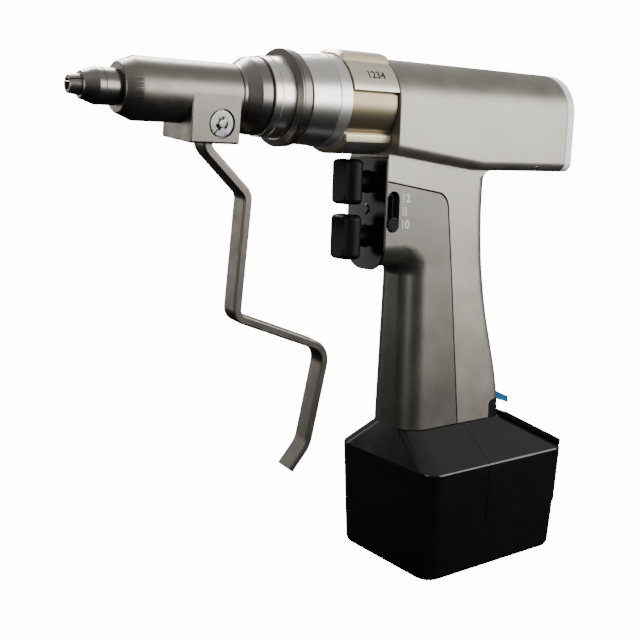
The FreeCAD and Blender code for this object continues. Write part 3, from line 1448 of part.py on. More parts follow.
def battery_tub():
    """Lower case that holds the cells."""
    tub = rounded_battery().cut(battery_body(BATTERY_WALL))
    tub = tub.cut(box(-battery_l, battery_l, -battery_w, battery_w, LID_PARTING_Z, battery_top_z + 5))
    return clean(tub.cut(cover_zone(-PARTING / 2)))


def battery_lid():
    """Front part of the roof with its short skirt and the terminal well."""
    lid = rounded_battery().cut(battery_body(BATTERY_WALL))
    lid = lid.common(box(-battery_l, battery_l, -battery_w, battery_w, LID_PARTING_Z + PARTING / 2, battery_top_z + 5))
    lid = lid.cut(cover_zone(-PARTING / 2))
    outer_w = well_half_w + WELL_WALL
    cup = box(well_front_x - WELL_WALL, COVER_PARTING_X - PARTING / 2, -outer_w, outer_w,
              well_floor_z - WELL_WALL, battery_top_z - 1)
    return clean(lid.fuse(cup).cut(terminal_well()))


def rear_step():
    """Slab that stands proud of the roof's rear slope, as far as its hips."""
    end_x = battery_l / 2
    slope = prism_y([
        (PLATEAU_REAR_X, battery_top_z - REAR_STEP_SINK, 0), (end_x, eave_z - REAR_STEP_SINK, 0),
        (end_x, eave_z + REAR_STEP_H, 2.4), (PLATEAU_REAR_X, battery_top_z + REAR_STEP_H, 0.9),
    ], -battery_w, battery_w)
    low = eave_z - REAR_STEP_H
    hips = outline([
        (PLATEAU_REAR_X, -PLATEAU_HALF_W, 0), (end_x, -battery_w / 2, 0),
        (end_x, battery_w / 2, 0), (PLATEAU_REAR_X, PLATEAU_HALF_W, 0),
    ], floor_plane(low))
    whole = battery_wire(low, battery_l, battery_w, BATTERY_CORNER_R)
    for plan in (hips, whole):
        slope = slope.common(Part.Face(plan).extrude(V(0, 0, BATTERY_ROOF_H * 2)))
    return slope


def battery_rear_cover():
    """Rear part of the roof with the deep skirt and the hook pocket."""
    shell = battery_body(0.0, COVER_PROUD)
    shell = soften(shell, BATTERY_EAVE_R, lambda e: abs(e.CenterOfMass.z - eave_z) < 0.05
                   and e.BoundBox.ZLength < 0.05)
    shell = shell.fuse(rear_step()).cut(battery_body(BATTERY_WALL)).common(cover_zone(0.0))
    half = HOOK_HALF_W + 2 * GAP + HOOK_CUP_WALL
    cup = box(LATCH_PIVOT_X - 5.0 - HOOK_CUP_WALL, LATCH_PIVOT_X + 2.6 + HOOK_CUP_WALL, -half, half,
              pocket_floor_z - HOOK_CUP_WALL, battery_top_z - 1)
    return clean(shell.fuse(cup).cut(latch_pocket()))


def battery_cells():
    """Eight round cells standing in three rows."""
    rows = [(-1, 3), (0, 2), (1, 3)]
    cells = []
    for row, count in rows:
        y = row * cell_row
        for k in range(count):
            x = (k - (count - 1) / 2) * cell_pitch
            can = Part.makeCylinder(CELL_R, CELL_LENGTH, V(x, y, BATTERY_WALL + FIT))
            button = Part.makeCylinder(CELL_BUTTON_R, CELL_BUTTON_H, V(x, y, BATTERY_WALL + FIT + CELL_LENGTH))
            cells.append(can.fuse(button))
    return Part.makeCompound(cells)


def battery_board():
    """Protection board on top of the cells, carrying the terminal clips."""
    half_l = battery_l / 2 - BATTERY_WALL - PACK_BOARD_TO_WALL
    half_w = battery_w / 2 - BATTERY_WALL - 2 * PACK_BOARD_TO_WALL
    return prism_slab(-half_l, half_l, half_w, pack_board_z, PACK_BOARD_T, PACK_BOARD_TO_WALL)


def prism_slab(x_low, x_high, half_w, z, thickness, radius):
    """Flat plate with rounded corners."""
    wire = outline(rectangle(x_low, x_high, -half_w, half_w, radius), floor_plane(z))
    return Part.Face(wire).extrude(V(0, 0, thickness))


def battery_terminals():
    """Two sprung clips in the well that grip the blades."""
    clips = []
    slit = BLADE_T / 2 + GAP
    for side in (-1, 1):
        y = side * BLADE_SPREAD / 2
        clip = box(BLADE_X - CLIP_HALF_L, BLADE_X + CLIP_HALF_L, y - CLIP_HALF_W, y + CLIP_HALF_W,
                   well_floor_z, well_floor_z + CLIP_HEIGHT)
        clips.append(clip.cut(box(BLADE_X - 2 * CLIP_HALF_L, BLADE_X + 2 * CLIP_HALF_L, y - slit, y + slit,
                                  well_floor_z + 1.0, well_floor_z + 2 * CLIP_HEIGHT)))
    return Part.makeCompound(clips)


def all_nodes():
    """Every sub-part by the name of its file."""
    nodes = {
        "main_housing": main_housing(),
        "housing_screws": housing_screws(),
        "grip_front_shell": grip_front_shell(),
        "rear_cap": rear_cap(),
        "trigger_plate": trigger_plate(),
        "trigger_seals": trigger_seals(),
        "trigger_module": trigger_module(),
        "upper_trigger": trigger(upper_trigger_z),
        "lower_trigger": trigger(lower_trigger_z),
        "upper_trigger_spring": trigger_spring(upper_trigger_z),
        "lower_trigger_spring": trigger_spring(lower_trigger_z),
        "selector_guide": selector_guide(),
        "speed_selector": speed_selector(),
        "nose_tube": nose_tube(),
        "barrel_sleeve": barrel_sleeve(),
        "mode_collar": mode_collar(),
        "coupling_seal": coupling_seal(),
        "attachment_flange": attachment_flange(),
        "attachment_ring": attachment_ring(),
        "attachment_flare": attachment_flare(),
        "spindle_bearings": spindle_bearings(),
        "swivel_sleeve": swivel_sleeve(),
        "pivot_pin": pivot_pin(),
        "pivot_clip": pivot_clip(),
        "collet_lever": collet_lever(),
        "draw_sleeve": draw_sleeve(),
        "collet_spring": collet_spring(),
        "collet_tip": collet_tip(),
        "nose_cone": nose_cone(),
        "collet_spindle": collet_spindle(),
        "drive_socket": drive_socket(),
        "planet_carrier": planet_carrier(),
        "output_bearing": output_bearing(),
        "ring_gear": ring_gear(),
        "sun_gear": sun_gear(),
        "motor_front_plate": motor_front_plate(),
        "motor_rear_plate": motor_rear_plate(),
        "rotor_bearings": rotor_bearings(),
        "stator_core": stator_core(),
        "stator_winding": stator_winding(),
        "rotor_magnet": rotor_magnet(),
        "rotor_shaft": rotor_shaft(),
        "cannula_tube": cannula_tube(),
        "controller_board": controller_board(),
        "capacitors": capacitors(),
        "power_leads": power_leads(),
        "contact_block": contact_block(),
        "contact_blades": contact_blades(),
        "latch_housing": latch_housing(),
        "latch_pin": latch_pin(),
        "release_latch": release_latch(),
        "battery_tub": battery_tub(),
        "battery_lid": battery_lid(),
        "battery_rear_cover": battery_rear_cover(),
        "battery_cells": battery_cells(),
        "battery_board": battery_board(),
        "battery_terminals": battery_terminals(),
    }
    for k in range(PLANETS):
        nodes["planet_gear_%d" % (k + 1)] = planet_gear(k)
    return nodes


if __name__ == "__main__":
    os.makedirs("parts", exist_ok=True)
    for name, shape in all_nodes().items():
        shape.exportStep("parts/" + name + ".step")
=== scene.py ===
import json
import math

import bmesh
import bpy
import numpy as np
from mathutils import Matrix, Vector


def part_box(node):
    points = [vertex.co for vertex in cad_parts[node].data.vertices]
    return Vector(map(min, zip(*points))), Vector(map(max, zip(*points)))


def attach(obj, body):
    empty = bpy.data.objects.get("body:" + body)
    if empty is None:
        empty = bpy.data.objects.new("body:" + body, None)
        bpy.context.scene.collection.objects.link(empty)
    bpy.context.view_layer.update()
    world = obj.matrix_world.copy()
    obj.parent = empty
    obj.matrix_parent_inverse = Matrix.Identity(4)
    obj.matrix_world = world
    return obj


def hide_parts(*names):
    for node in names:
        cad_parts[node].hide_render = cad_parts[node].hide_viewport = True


# Battery surgical drill with a wire collet attachment. Lengths in the shape code are
# millimetres; they become metres when a mesh is made. Nose towards -X, +Z up.

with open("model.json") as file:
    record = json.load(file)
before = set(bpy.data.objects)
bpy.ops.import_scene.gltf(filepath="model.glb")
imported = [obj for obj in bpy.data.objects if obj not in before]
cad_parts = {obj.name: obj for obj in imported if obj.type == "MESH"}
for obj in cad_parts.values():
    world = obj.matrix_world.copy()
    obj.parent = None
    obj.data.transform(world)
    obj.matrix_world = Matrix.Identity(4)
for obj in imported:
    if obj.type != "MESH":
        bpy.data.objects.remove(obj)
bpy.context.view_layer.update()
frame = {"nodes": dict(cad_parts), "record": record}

MM = 0.001
AXIS_Z = 221.0
MERGE = 0.002 * MM
FLAT = math.radians(0.5)


# Colour and nodes

def linear(hex_colour):
    """Linear RGBA of an sRGB hex colour: each channel c becomes c/12.92 or ((c+0.055)/1.055)^2.4."""
    channels = [int(hex_colour[i:i + 2], 16) / 255.0 for i in (0, 2, 4)]
    return [c / 12.92 if c <= 0.04045 else ((c + 0.055) / 1.055) ** 2.4 for c in channels] + [1.0]


def add(tree, kind, inputs=None, **settings):
    """Adds a node, sets its properties, and sets or links its sockets."""
    made = tree.nodes.new(kind)
    for key, value in settings.items():
        setattr(made, key, value)
    for key, value in (inputs or {}).items():
        if isinstance(value, bpy.types.NodeSocket):
            tree.links.new(value, made.inputs[key])
        else:
            made.inputs[key].default_value = value
    return made


def start_material(name, metallic, roughness, colour, **more):
    """New material with its shader's own sockets set; returns it, its tree and the shader."""
    made = bpy.data.materials.new(name)
    made.use_nodes = True
    tree = made.node_tree
    shader = tree.nodes["Principled BSDF"]
    shader.inputs["Base Color"].default_value = linear(colour)
    shader.inputs["Metallic"].default_value = metallic
    shader.inputs["Roughness"].default_value = roughness
    for key, value in more.items():
        shader.inputs[key.replace("_", " ")].default_value = value
    return made, tree, shader


def grain(tree, size_mm, stretch=(1.0, 1.0, 1.0), detail=3.0):
    """Noise with grains size_mm across, stretched by the factors; 0 means that an axis has no say."""
    where = add(tree, "ShaderNodeTexCoord")
    scale = [1.0 / (size_mm * MM * s) if s else 0.0 for s in stretch]
    moved = add(tree, "ShaderNodeMapping", {"Vector": where.outputs["Object"], "Scale": scale})
    return add(tree, "ShaderNodeTexNoise", {"Vector": moved.outputs[0], "Scale": 1.0, "Detail": detail,
                                            "Roughness": 0.55})


def ramp(tree, value, low, high, to_low, to_high):
    """Maps value from low..high to to_low..to_high."""
    return add(tree, "ShaderNodeMapRange", {"Value": value, "From Min": low, "From Max": high,
                                            "To Min": to_low, "To Max": to_high}).outputs[0]


def mix_colour(tree, amount, first, second):
    """Colour that runs from first to second as amount goes from 0 to 1."""
    return add(tree, "ShaderNodeMix", {0: amount, 6: first, 7: second}, data_type="RGBA").outputs[2]


def vary_colour(tree, shader, value, dark, light):
    """Base colour that runs between two hex colours with a noise value."""
    amount = ramp(tree, value, 0.35, 0.65, 0.0, 1.0)
    tree.links.new(mix_colour(tree, amount, linear(dark), linear(light)), shader.inputs["Base Color"])


def vary_gloss(tree, shader, value, low, high):
    """Roughness that runs from low to high with a noise value."""
    tree.links.new(ramp(tree, value, 0.3, 0.7, low, high), shader.inputs["Roughness"])


def bump(tree, shader, height, strength, depth_mm):
    """Bump of depth_mm from a height."""
    made = add(tree, "ShaderNodeBump", {"Height": height, "Strength": strength, "Distance": depth_mm * MM})
    tree.links.new(made.outputs[0], shader.inputs["Normal"])


def coated_aluminium(name, dark, light):
    """Cast aluminium under a satin warm grey coat: metallic flake, fine pebbled grain, faint wipe marks."""
    made, tree, shader = start_material(name, 0.85, 0.38, light)
    flake = grain(tree, 0.35, detail=2.0)
    cloud = grain(tree, 18.0, detail=4.0)
    vary_colour(tree, shader, cloud.outputs[0], dark, light)
    vary_gloss(tree, shader, cloud.outputs[0], 0.36, 0.42)
    bump(tree, shader, flake.outputs[0], 0.35, 0.03)
    return made


def cap_nylon():
    """Moulded nylon, near white and satin."""
    made, tree, shader = start_material("cap_nylon", 0.0, 0.42, "f7f6f4",
                                        Coat_Weight=0.6, Coat_Roughness=0.3)
    vary_colour(tree, shader, grain(tree, 12.0).outputs[0], "f0efec", "fbfaf8")
    bump(tree, shader, grain(tree, 0.4, detail=1.0).outputs[0], 0.2, 0.02)
    return made


def turned_steel(name, colour, roughness, depth_mm):
    """Stainless steel turned on a lathe: true rings round the barrel and a gloss that drifts a little.

    Real turning marks are too fine to show, so the rings are drawn 0.7 mm apart."""
    made, tree, shader = start_material(name, 1.0, roughness, colour)
    rings = grain(tree, 0.7, stretch=(1.0, 0.0, 0.0), detail=2.0)
    smudge = grain(tree, 25.0, detail=1.0)
    vary_gloss(tree, shader, smudge.outputs[0], roughness * 0.97, roughness * 1.03)
    bump(tree, shader, rings.outputs[0], 0.5, depth_mm)
    return made


def brushed_steel():
    """Stainless bar brushed lengthwise: scratches that change only across its width.

    Real scratches are too fine to show, so they are drawn 0.4 mm apart."""
    made, tree, shader = start_material("lever_steel", 1.0, 0.3, "8c8880")
    lines = grain(tree, 0.4, stretch=(0.0, 1.0, 0.0), detail=3.0)
    smudge = grain(tree, 7.0, detail=3.0)
    vary_gloss(tree, shader, smudge.outputs[0], 0.26, 0.36)
    bump(tree, shader, lines.outputs[0], 0.5, 0.012)
    return made


def satin_steel():
    """Bead-blasted stainless steel: a fine even sparkle."""
    made, tree, shader = start_material("satin_steel", 1.0, 0.38, "7f7a73")
    bump(tree, shader, grain(tree, 0.3, detail=2.0).outputs[0], 0.35, 0.02)
    vary_gloss(tree, shader, grain(tree, 6.0).outputs[0], 0.34, 0.44)
    return made


STEEL = "d6d3cd"
RING_REAR_X = -87.5


def collar_finish():
    """Anodised collar, told apart by radius and station.

    Bronze recess, champagne lands, rib flanks painted pale gold as a painted warm highlight, bare steel on
    the ribs' backs and front ring."""
    made, tree, shader = start_material("collar_bronze", 0.9, 0.34, "8d8169")
    where = add(tree, "ShaderNodeTexCoord")
    centred = add(tree, "ShaderNodeMapping", {"Vector": where.outputs["Object"],
                                              "Location": (0, 0, -AXIS_Z * MM)})
    flat = add(tree, "ShaderNodeVectorMath", {0: centred.outputs[0], 1: (0.0, 1.0, 1.0)},
               operation="MULTIPLY")
    radius = add(tree, "ShaderNodeVectorMath", {0: flat.outputs[0]}, operation="LENGTH").outputs["Value"]
    along = add(tree, "ShaderNodeSeparateXYZ", {"Vector": where.outputs["Object"]}).outputs["X"]
    colour = linear("8d8169")
    # From 20.1 mm up the rib flanks are painted pale gold: a painted warm highlight on the ribs' steel, not
    # a colour of their own.
    for low, high, tint in ((18.9, 19.4, "e2dac8"), (20.1, 20.4, "f1dfba"), (21.8, 22.0, "c6c1b8")):
        step = ramp(tree, radius, low * MM, high * MM, 0.0, 1.0)
        colour = mix_colour(tree, step, colour, linear(tint))
    front = ramp(tree, along, (RING_REAR_X - 0.1) * MM, RING_REAR_X * MM, 1.0, 0.0)
    tree.links.new(mix_colour(tree, front, colour, linear(STEEL)), shader.inputs["Base Color"])
    rings = grain(tree, 0.7, stretch=(1.0, 0.0, 0.0), detail=2.0)
    bump(tree, shader, rings.outputs[0], 0.3, 0.008)
    return made


def gloss_black():
    """Glossy black polycarbonate: faint orange peel and light scuffing in the gloss."""
    made, tree, shader = start_material("gloss_black", 0.0, 0.2, "0b0b0c")
    peel = grain(tree, 2.2, detail=1.0)
    scuff = grain(tree, 14.0, detail=5.0)
    vary_gloss(tree, shader, scuff.outputs[0], 0.16, 0.26)
    bump(tree, shader, peel.outputs[0], 0.12, 0.03)
    return made


def moulded_black(name, roughness, colour):
    """Moulded black plastic with a fine spark-eroded grain."""
    made, tree, shader = start_material(name, 0.0, roughness, colour, Specular_IOR_Level=0.12)
    bump(tree, shader, grain(tree, 0.35, detail=2.0).outputs[0], 0.35, 0.03)
    return made


def plain_plastic(name, roughness, dark, light):
    """Moulded plastic with slight flow marks."""
    made, tree, shader = start_material(name, 0.0, roughness, light)
    vary_colour(tree, shader, grain(tree, 5.0).outputs[0], dark, light)
    bump(tree, shader, grain(tree, 0.5, detail=1.0).outputs[0], 0.2, 0.02)
    return made


def plain_metal(name, roughness, dark, light):
    """Machined metal with a slight mottle."""
    made, tree, shader = start_material(name, 1.0, roughness, light)
    vary_colour(tree, shader, grain(tree, 3.0).outputs[0], dark, light)
    bump(tree, shader, grain(tree, 0.4, detail=2.0).outputs[0], 0.3, 0.01)
    return made


FINISH = {
    "coated_aluminium": coated_aluminium("coated_aluminium", "86827a", "938f86"),
    "shell_coat": coated_aluminium("shell_coat", "605e58", "6b6862"),
    "cap_nylon": cap_nylon(),
    "polished_steel": turned_steel("polished_steel", STEEL, 0.3, 0.002),
    "dark_steel": turned_steel("dark_steel", "837f7a", 0.32, 0.002),
    "sleeve_steel": turned_steel("sleeve_steel", "b0aba2", 0.26, 0.002),
    "satin_steel": satin_steel(),
    "lever_steel": brushed_steel(),
    "collar_bronze": collar_finish(),
    "black_gloss": gloss_black(),
    "black_satin": moulded_black("satin_black", 0.42, "0e0e0f"),
    "black_rubber": moulded_black("black_rubber", 0.7, "0d0d0d"),
    "blue_plastic": plain_plastic("blue_plastic", 0.35, "0a5590", "146ba8"),
    "spring_steel": plain_metal("spring_steel", 0.25, "8d8d8d", "a5a5a5"),
    "gear_steel": plain_metal("gear_steel", 0.3, "7c7a76", "97948f"),
    "copper": plain_metal("copper", 0.35, "9c5a2c", "b9713d"),
    "contact_brass": plain_metal("contact_brass", 0.25, "b8924a", "d1ad63"),
    "magnet": plain_metal("magnet", 0.4, "4b4c50", "606166"),
    "circuit_board": plain_plastic("circuit_board", 0.45, "16462c", "1f5d3b"),
    "capacitor_can": plain_plastic("capacitor_can", 0.3, "23242a", "2e2f37"),
    "lead_insulation": plain_plastic("lead_insulation", 0.5, "7a1717", "952222"),
    "cell_can": plain_metal("cell_can", 0.3, "a5a6a8", "c2c3c5"),
    "print_white": plain_plastic("print_white", 0.6, "e6e5e1", "f2f1ee"),
    "print_dark": plain_plastic("print_dark", 0.6, "1c1b19", "242320"),
}

SLOT_OF = {part["node"]: part["material_slot"] for part in frame["record"]["subparts"]}
BODY_OF = {name: body for body, names in frame["record"]["behaviour"]["bodies"].items() for name in names}


# Pieces

def keep(made, body, finish, replaced=()):
    """Gives a finished piece its material, its body and the nodes that it stands for."""
    made.data.materials.clear()
    made.data.materials.append(FINISH[finish])
    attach(made, body)
    if replaced:
        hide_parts(*replaced)
    return made


def even_shading(made, sharp_deg=30.0):
    """Smooth shading that lets large faces decide the light on the small ones between them."""
    data = made.data
    data.polygons.foreach_set("use_smooth", np.ones(len(data.polygons), dtype=bool))
    data.set_sharp_from_angle(angle=math.radians(sharp_deg))
    even = made.modifiers.new("even_shading", "WEIGHTED_NORMAL")
    even.keep_sharp = True
    even.weight = 100


def smooth_copy(name, finish=None, edge_mm=0.0):
    """A CAD node's own shape with its corners joined; edge_mm breaks its sharp edges."""
    data = frame["nodes"][name].data.copy()
    made = bpy.data.objects.new(name + "_skin", data)
    bpy.context.scene.collection.objects.link(made)
    work = bmesh.new()
    work.from_mesh(data)
    bmesh.ops.remove_doubles(work, verts=work.verts, dist=MERGE)
    bmesh.ops.dissolve_degenerate(work, edges=work.edges, dist=MERGE)
    if edge_mm:
        bmesh.ops.dissolve_limit(work, angle_limit=FLAT, verts=work.verts, edges=work.edges)
    work.to_mesh(data)
    work.free()
    if "custom_normal" in data.attributes:
        data.attributes.remove(data.attributes["custom_normal"])
    if edge_mm:
        broken = made.modifiers.new("broken_edges", "BEVEL")
        broken.width = edge_mm * MM
        broken.segments = 2
        broken.limit_method = "ANGLE"
        broken.angle_limit = math.radians(38.0)
        broken.miter_outer = "MITER_ARC"
    even_shading(made)
    return keep(made, BODY_OF[name], finish or SLOT_OF[name], (name,))


def rounded(corners, steps):
    """Closed outline of (u, v, radius) corners, each rounded by an arc that touches both its sides.

    A point of the arc is the centre plus the two touching radii weighted by sin((1-t)w) and sin(tw)
    over sin(w), where w is the angle between them and t runs from 0 to 1."""
    places = np.array([corner[:2] for corner in corners], dtype=float)
    pieces = []
    for i, radius in enumerate(corner[2] for corner in corners):
        if radius <= 0.0:
            pieces.append(places[i:i + 1])
            continue
        back = places[i - 1] - places[i]
        ahead = places[(i + 1) % len(corners)] - places[i]
        room = 0.49 * min(np.linalg.norm(back), np.linalg.norm(ahead))
        back = back / np.linalg.norm(back)
        ahead = ahead / np.linalg.norm(ahead)
        half = 0.5 * math.acos(float(np.clip(back @ ahead, -1.0, 1.0)))
        reach = min(radius / math.tan(half), room)
        centre = places[i] + (back + ahead) / np.linalg.norm(back + ahead) * reach / math.cos(half)
        first = places[i] + back * reach - centre
        last = places[i] + ahead * reach - centre
        sweep = math.pi - 2.0 * half
        t = np.linspace(0.0, 1.0, steps + 1)[:, None]
        arc = (np.sin((1.0 - t) * sweep) * first + np.sin(t * sweep) * last) / math.sin(sweep)
        pieces.append(centre + arc)
    return np.concatenate(pieces)


def surface(name, points):
    """Mesh of a grid of points (rows, columns, 3) in millimetres that closes on itself both ways.

    Its faces have four sides and look outwards: the sign of the volume, one sixth of the sum of
    a . (b x c) over the triangles, says whether they have to be turned."""
    rows, columns = points.shape[:2]
    index = np.arange(rows * columns).reshape(rows, columns)
    i = np.arange(rows)[:, None]
    j = np.arange(columns)[None, :]
    after, beside = (i + 1) % rows, (j + 1) % columns
    quads = np.stack([index[i, j], index[after, j], index[after, beside], index[i, beside]], axis=-1)
    quads = quads.reshape(-1, 4)
    flat = points.reshape(-1, 3)
    a, b, c, d = (flat[quads[:, k]] for k in range(4))
    volume = np.sum(a * np.cross(b, c)) + np.sum(a * np.cross(c, d))
    faces = quads.tolist()
    if volume < 0.0:
        faces = [face[::-1] for face in faces]
    data = bpy.data.meshes.new(name)
    data.from_pydata((flat * MM).tolist(), [], faces)
    made = bpy.data.objects.new(name, data)
    bpy.context.scene.collection.objects.link(made)
    even_shading(made)
    return made


def turned_piece(node, finish, corners):
    """Outline (x, r) carried round the barrel: a point is (x, r cos a, axis height + r sin a)."""
    outline = rounded(corners, 4)
    angle = np.linspace(0.0, 2.0 * math.pi, 144, endpoint=False)[None, :]
    x = outline[:, :1] + 0.0 * angle
    r = outline[:, 1:]
    points = np.stack([x, r * np.cos(angle), AXIS_Z + r * np.sin(angle)], axis=-1)
    return keep(surface(node + "_turned", points), BODY_OF[node], finish, (node,))


def node_box(name):
    """Lowest and highest corner of a node, in millimetres."""
    low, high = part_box(name)
    return np.array(low) / MM, np.array(high) / MM


# Turned parts of the barrel

def barrel_pieces():
    """Sleeve, seal, clamp ring, flange, flare and nose cone; the flange fills what ring and seal leave."""
    low, high = node_box("barrel_sleeve")
    turned_piece("barrel_sleeve", "polished_steel", [
        (low[0], 16.45, 0.2), (low[0], 18.5, 0.5), (high[0] + 0.25, 19.3, 0.0), (high[0] + 0.25, 16.45, 0.0),
    ])
    low, high = node_box("coupling_seal")
    seal_front = low[0]
    turned_piece("coupling_seal", "black_rubber", [
        (low[0], 13.8, 0.2), (low[0], 17.7, 0.25), (high[0], 17.7, 0.25), (high[0], 13.8, 0.2),
    ])
    low, high = node_box("attachment_ring")
    ring_end = high[0] + 1.6
    turned_piece("attachment_ring", "polished_steel", [
        (low[0], 14.0, 0.1), (low[0], 16.25, 0.35), (low[0] + 2.6, 16.4, 0.0), (low[0] + 2.8, 16.15, 0.0),
        (low[0] + 3.3, 16.15, 0.0), (low[0] + 3.5, 16.45, 0.0), (ring_end, 16.6, 0.25),
        (ring_end, 14.0, 0.1),
    ])
    low, high = node_box("attachment_flange")
    turned_piece("attachment_flange", "dark_steel", [
        (low[0], 6.5, 0.0), (low[0], 13.95, 0.0), (ring_end + 0.05, 13.95, 0.0),
        (ring_end + 0.05, 17.2, 0.1),
        (seal_front - 4.7, 20.0, 0.15), (seal_front - 4.2, 20.0, 0.0), (seal_front - 4.0, 19.7, 0.0),
        (seal_front - 3.7, 19.7, 0.0), (seal_front - 3.5, 20.0, 0.0), (seal_front, 19.8, 0.3),
        (seal_front, 13.55, 0.0), (high[0] - 0.6, 13.55, 0.0), (high[0], 12.9, 0.0), (high[0], 9.5, 0.0),
        (high[0] - 5.0, 9.5, 0.0), (high[0] - 5.0, 6.5, 0.0),
    ])
    low, high = node_box("attachment_flare")
    turned_piece("attachment_flare", "dark_steel", [
        (low[0], 6.0, 0.0), (low[0], 9.4, 0.0), (low[0] + 5.1, 9.4, 0.0), (low[0] + 5.1, 12.0, 0.25),
        (low[0] + 6.6, 12.0, 1.5), (low[0] + 11.2, 15.4, 1.2), (low[0] + 15.8, 15.8, 0.3),
        (low[0] + 16.0, 14.4, 0.0), (high[0], 14.4, 0.0), (high[0], 9.5, 0.0), (high[0] - 5.0, 9.5, 0.0),
        (high[0] - 5.0, 6.0, 0.0),
    ])
    low, high = node_box("nose_cone")
    turned_piece("nose_cone", "dark_steel", [
        (low[0], 3.0, 0.0), (low[0], 4.6, 0.15), (low[0] + 0.45, 5.1, 0.25), (low[0] + 5.65, 6.87, 0.5),
        (low[0] + 7.6, 6.87, 0.15), (low[0] + 7.8, 6.6, 0.0), (low[0] + 8.2, 6.6, 0.0),
        (low[0] + 8.4, 6.87, 0.15), (low[0] + 13.65, 6.87, 0.4), (low[0] + 13.65, 6.02, 0.0),
        (high[0], 6.02, 0.2), (high[0], 3.0, 0.0),
    ])


# Collar: radii and rises in millimetres, angles in degrees up from the left side
DRUM_R = 18.5
LAND_R = 20.0
COLLAR_BORE = 16.48
RIB_FOOT = 1.6
RIB_FLANK = 2.0
RING_RISE = 1.1
GROOVE_DEPTH = 0.9
END_BREAK = 0.3
LAND_FROM = 12.4
LAND_TO = 57.2
GROOVE_DEG = 2.4
RIB_FROM = 57.0
RIB_TO = 137.0
FLANK_DEG = 7.0
STEP_DEG = 0.6
FOOT_DEG = 0.4


def climb(value, low, high):
    """Share of the way from low to high, held between 0 and 1."""
    return np.clip((value - low) / (high - low), 0.0, 1.0)


def mode_collar():
    """Collar as radii on a grid of stations and angles.

    Each half turn has a land with a groove at its lower and front edge, and a rib whose flanks rise over
    7 degrees; between them the drum keeps its own radius, and a ring stands on its front. The rib's rise is
    a steep foot plus a slower flank. Grid lines stand close together at each edge, which keeps it crisp."""
    low, high = node_box("mode_collar")
    groove_from = LAND_FROM - GROOVE_DEG
    flank_top, flank_end = RIB_FROM + FLANK_DEG, RIB_TO - FLANK_DEG
    edges = np.array([groove_from, groove_from + STEP_DEG, LAND_FROM, LAND_FROM + STEP_DEG,
                      RIB_FROM - FOOT_DEG, RIB_FROM, RIB_FROM + FOOT_DEG, flank_top, flank_top + STEP_DEG,
                      flank_end - STEP_DEG, flank_end, RIB_TO - FOOT_DEG, RIB_TO])
    angle = np.unique(np.concatenate([np.arange(0.0, 360.0, 3.0), edges, edges + 180.0]))[None, :]
    behind_ring = np.array([-0.4, -0.1, 0.0, 0.2, 0.5, 0.7, 0.9, 1.3, 7.5, 15.5])
    x = np.concatenate([low[0] + np.array([0.0, 0.1, END_BREAK]), RING_REAR_X + behind_ring,
                        high[0] - np.array([0.4, 0.15, 0.0])])[:, None]
    past_ring = x - RING_REAR_X
    turn = np.mod(angle, 180.0)
    before_rib = turn < LAND_TO
    land = climb(turn, LAND_FROM, LAND_FROM + STEP_DEG) * before_rib * climb(past_ring, 0.7, 0.9)
    groove = climb(turn, groove_from, groove_from + STEP_DEG) * before_rib * climb(past_ring, 0.2, 0.5)
    groove = groove * (1.0 - land) * np.maximum(turn < LAND_FROM + FOOT_DEG, past_ring < 0.85)
    foot_on = climb(turn, RIB_FROM - FOOT_DEG, RIB_FROM)
    foot = foot_on * (1.0 - climb(turn, RIB_TO - FOOT_DEG, RIB_TO)) * climb(past_ring, -0.4, -0.1)
    flank_on = climb(turn, RIB_FROM, flank_top)
    flank = flank_on * (1.0 - climb(turn, flank_end, RIB_TO)) * climb(past_ring, -0.4, 1.3)
    rise = np.maximum((LAND_R - DRUM_R) * land, RIB_FOOT * foot + RIB_FLANK * flank)
    radius = DRUM_R + np.maximum(RING_RISE * (x <= RING_REAR_X), rise) - GROOVE_DEPTH * groove
    from_end = np.minimum(x - low[0], high[0] - x)
    radius = radius - END_BREAK * (1.0 - climb(from_end, 0.0, END_BREAK))
    a = np.radians(angle)
    outer = np.stack([x + 0.0 * a, -radius * np.cos(a), AXIS_Z + radius * np.sin(a)], axis=-1)
    bore_x = np.array([[high[0]], [low[0]]]) + 0.0 * a
    bore = COLLAR_BORE + 0.0 * bore_x
    inner = np.stack([bore_x, -bore * np.cos(a), AXIS_Z + bore * np.sin(a)], axis=-1)
    keep(surface("mode_collar_grid", np.concatenate([outer, inner])), BODY_OF["mode_collar"],
         "collar_bronze", ("mode_collar",))


# Housing: a lofted barrel on the CAD handle

HOUSING_FLOOR = 193.0
HOUSING_RISE_X = -9.6
HOUSING_RISE = 6.5 / 53.0
HOUSING_HALF_W = 20.0
HOUSING_CORNER = 4.6
HOUSING_BORE = 17.55
HOUSING_RIM = 0.4
HOUSING_START = 0.2
FLOOR_SLACK = 0.03
SCREW_X = 28.0


def floor_height(x):
    """Height of the barrel's underside, which rises towards the collar."""
    return HOUSING_FLOOR + HOUSING_RISE * np.maximum(0.0, HOUSING_RISE_X - x)


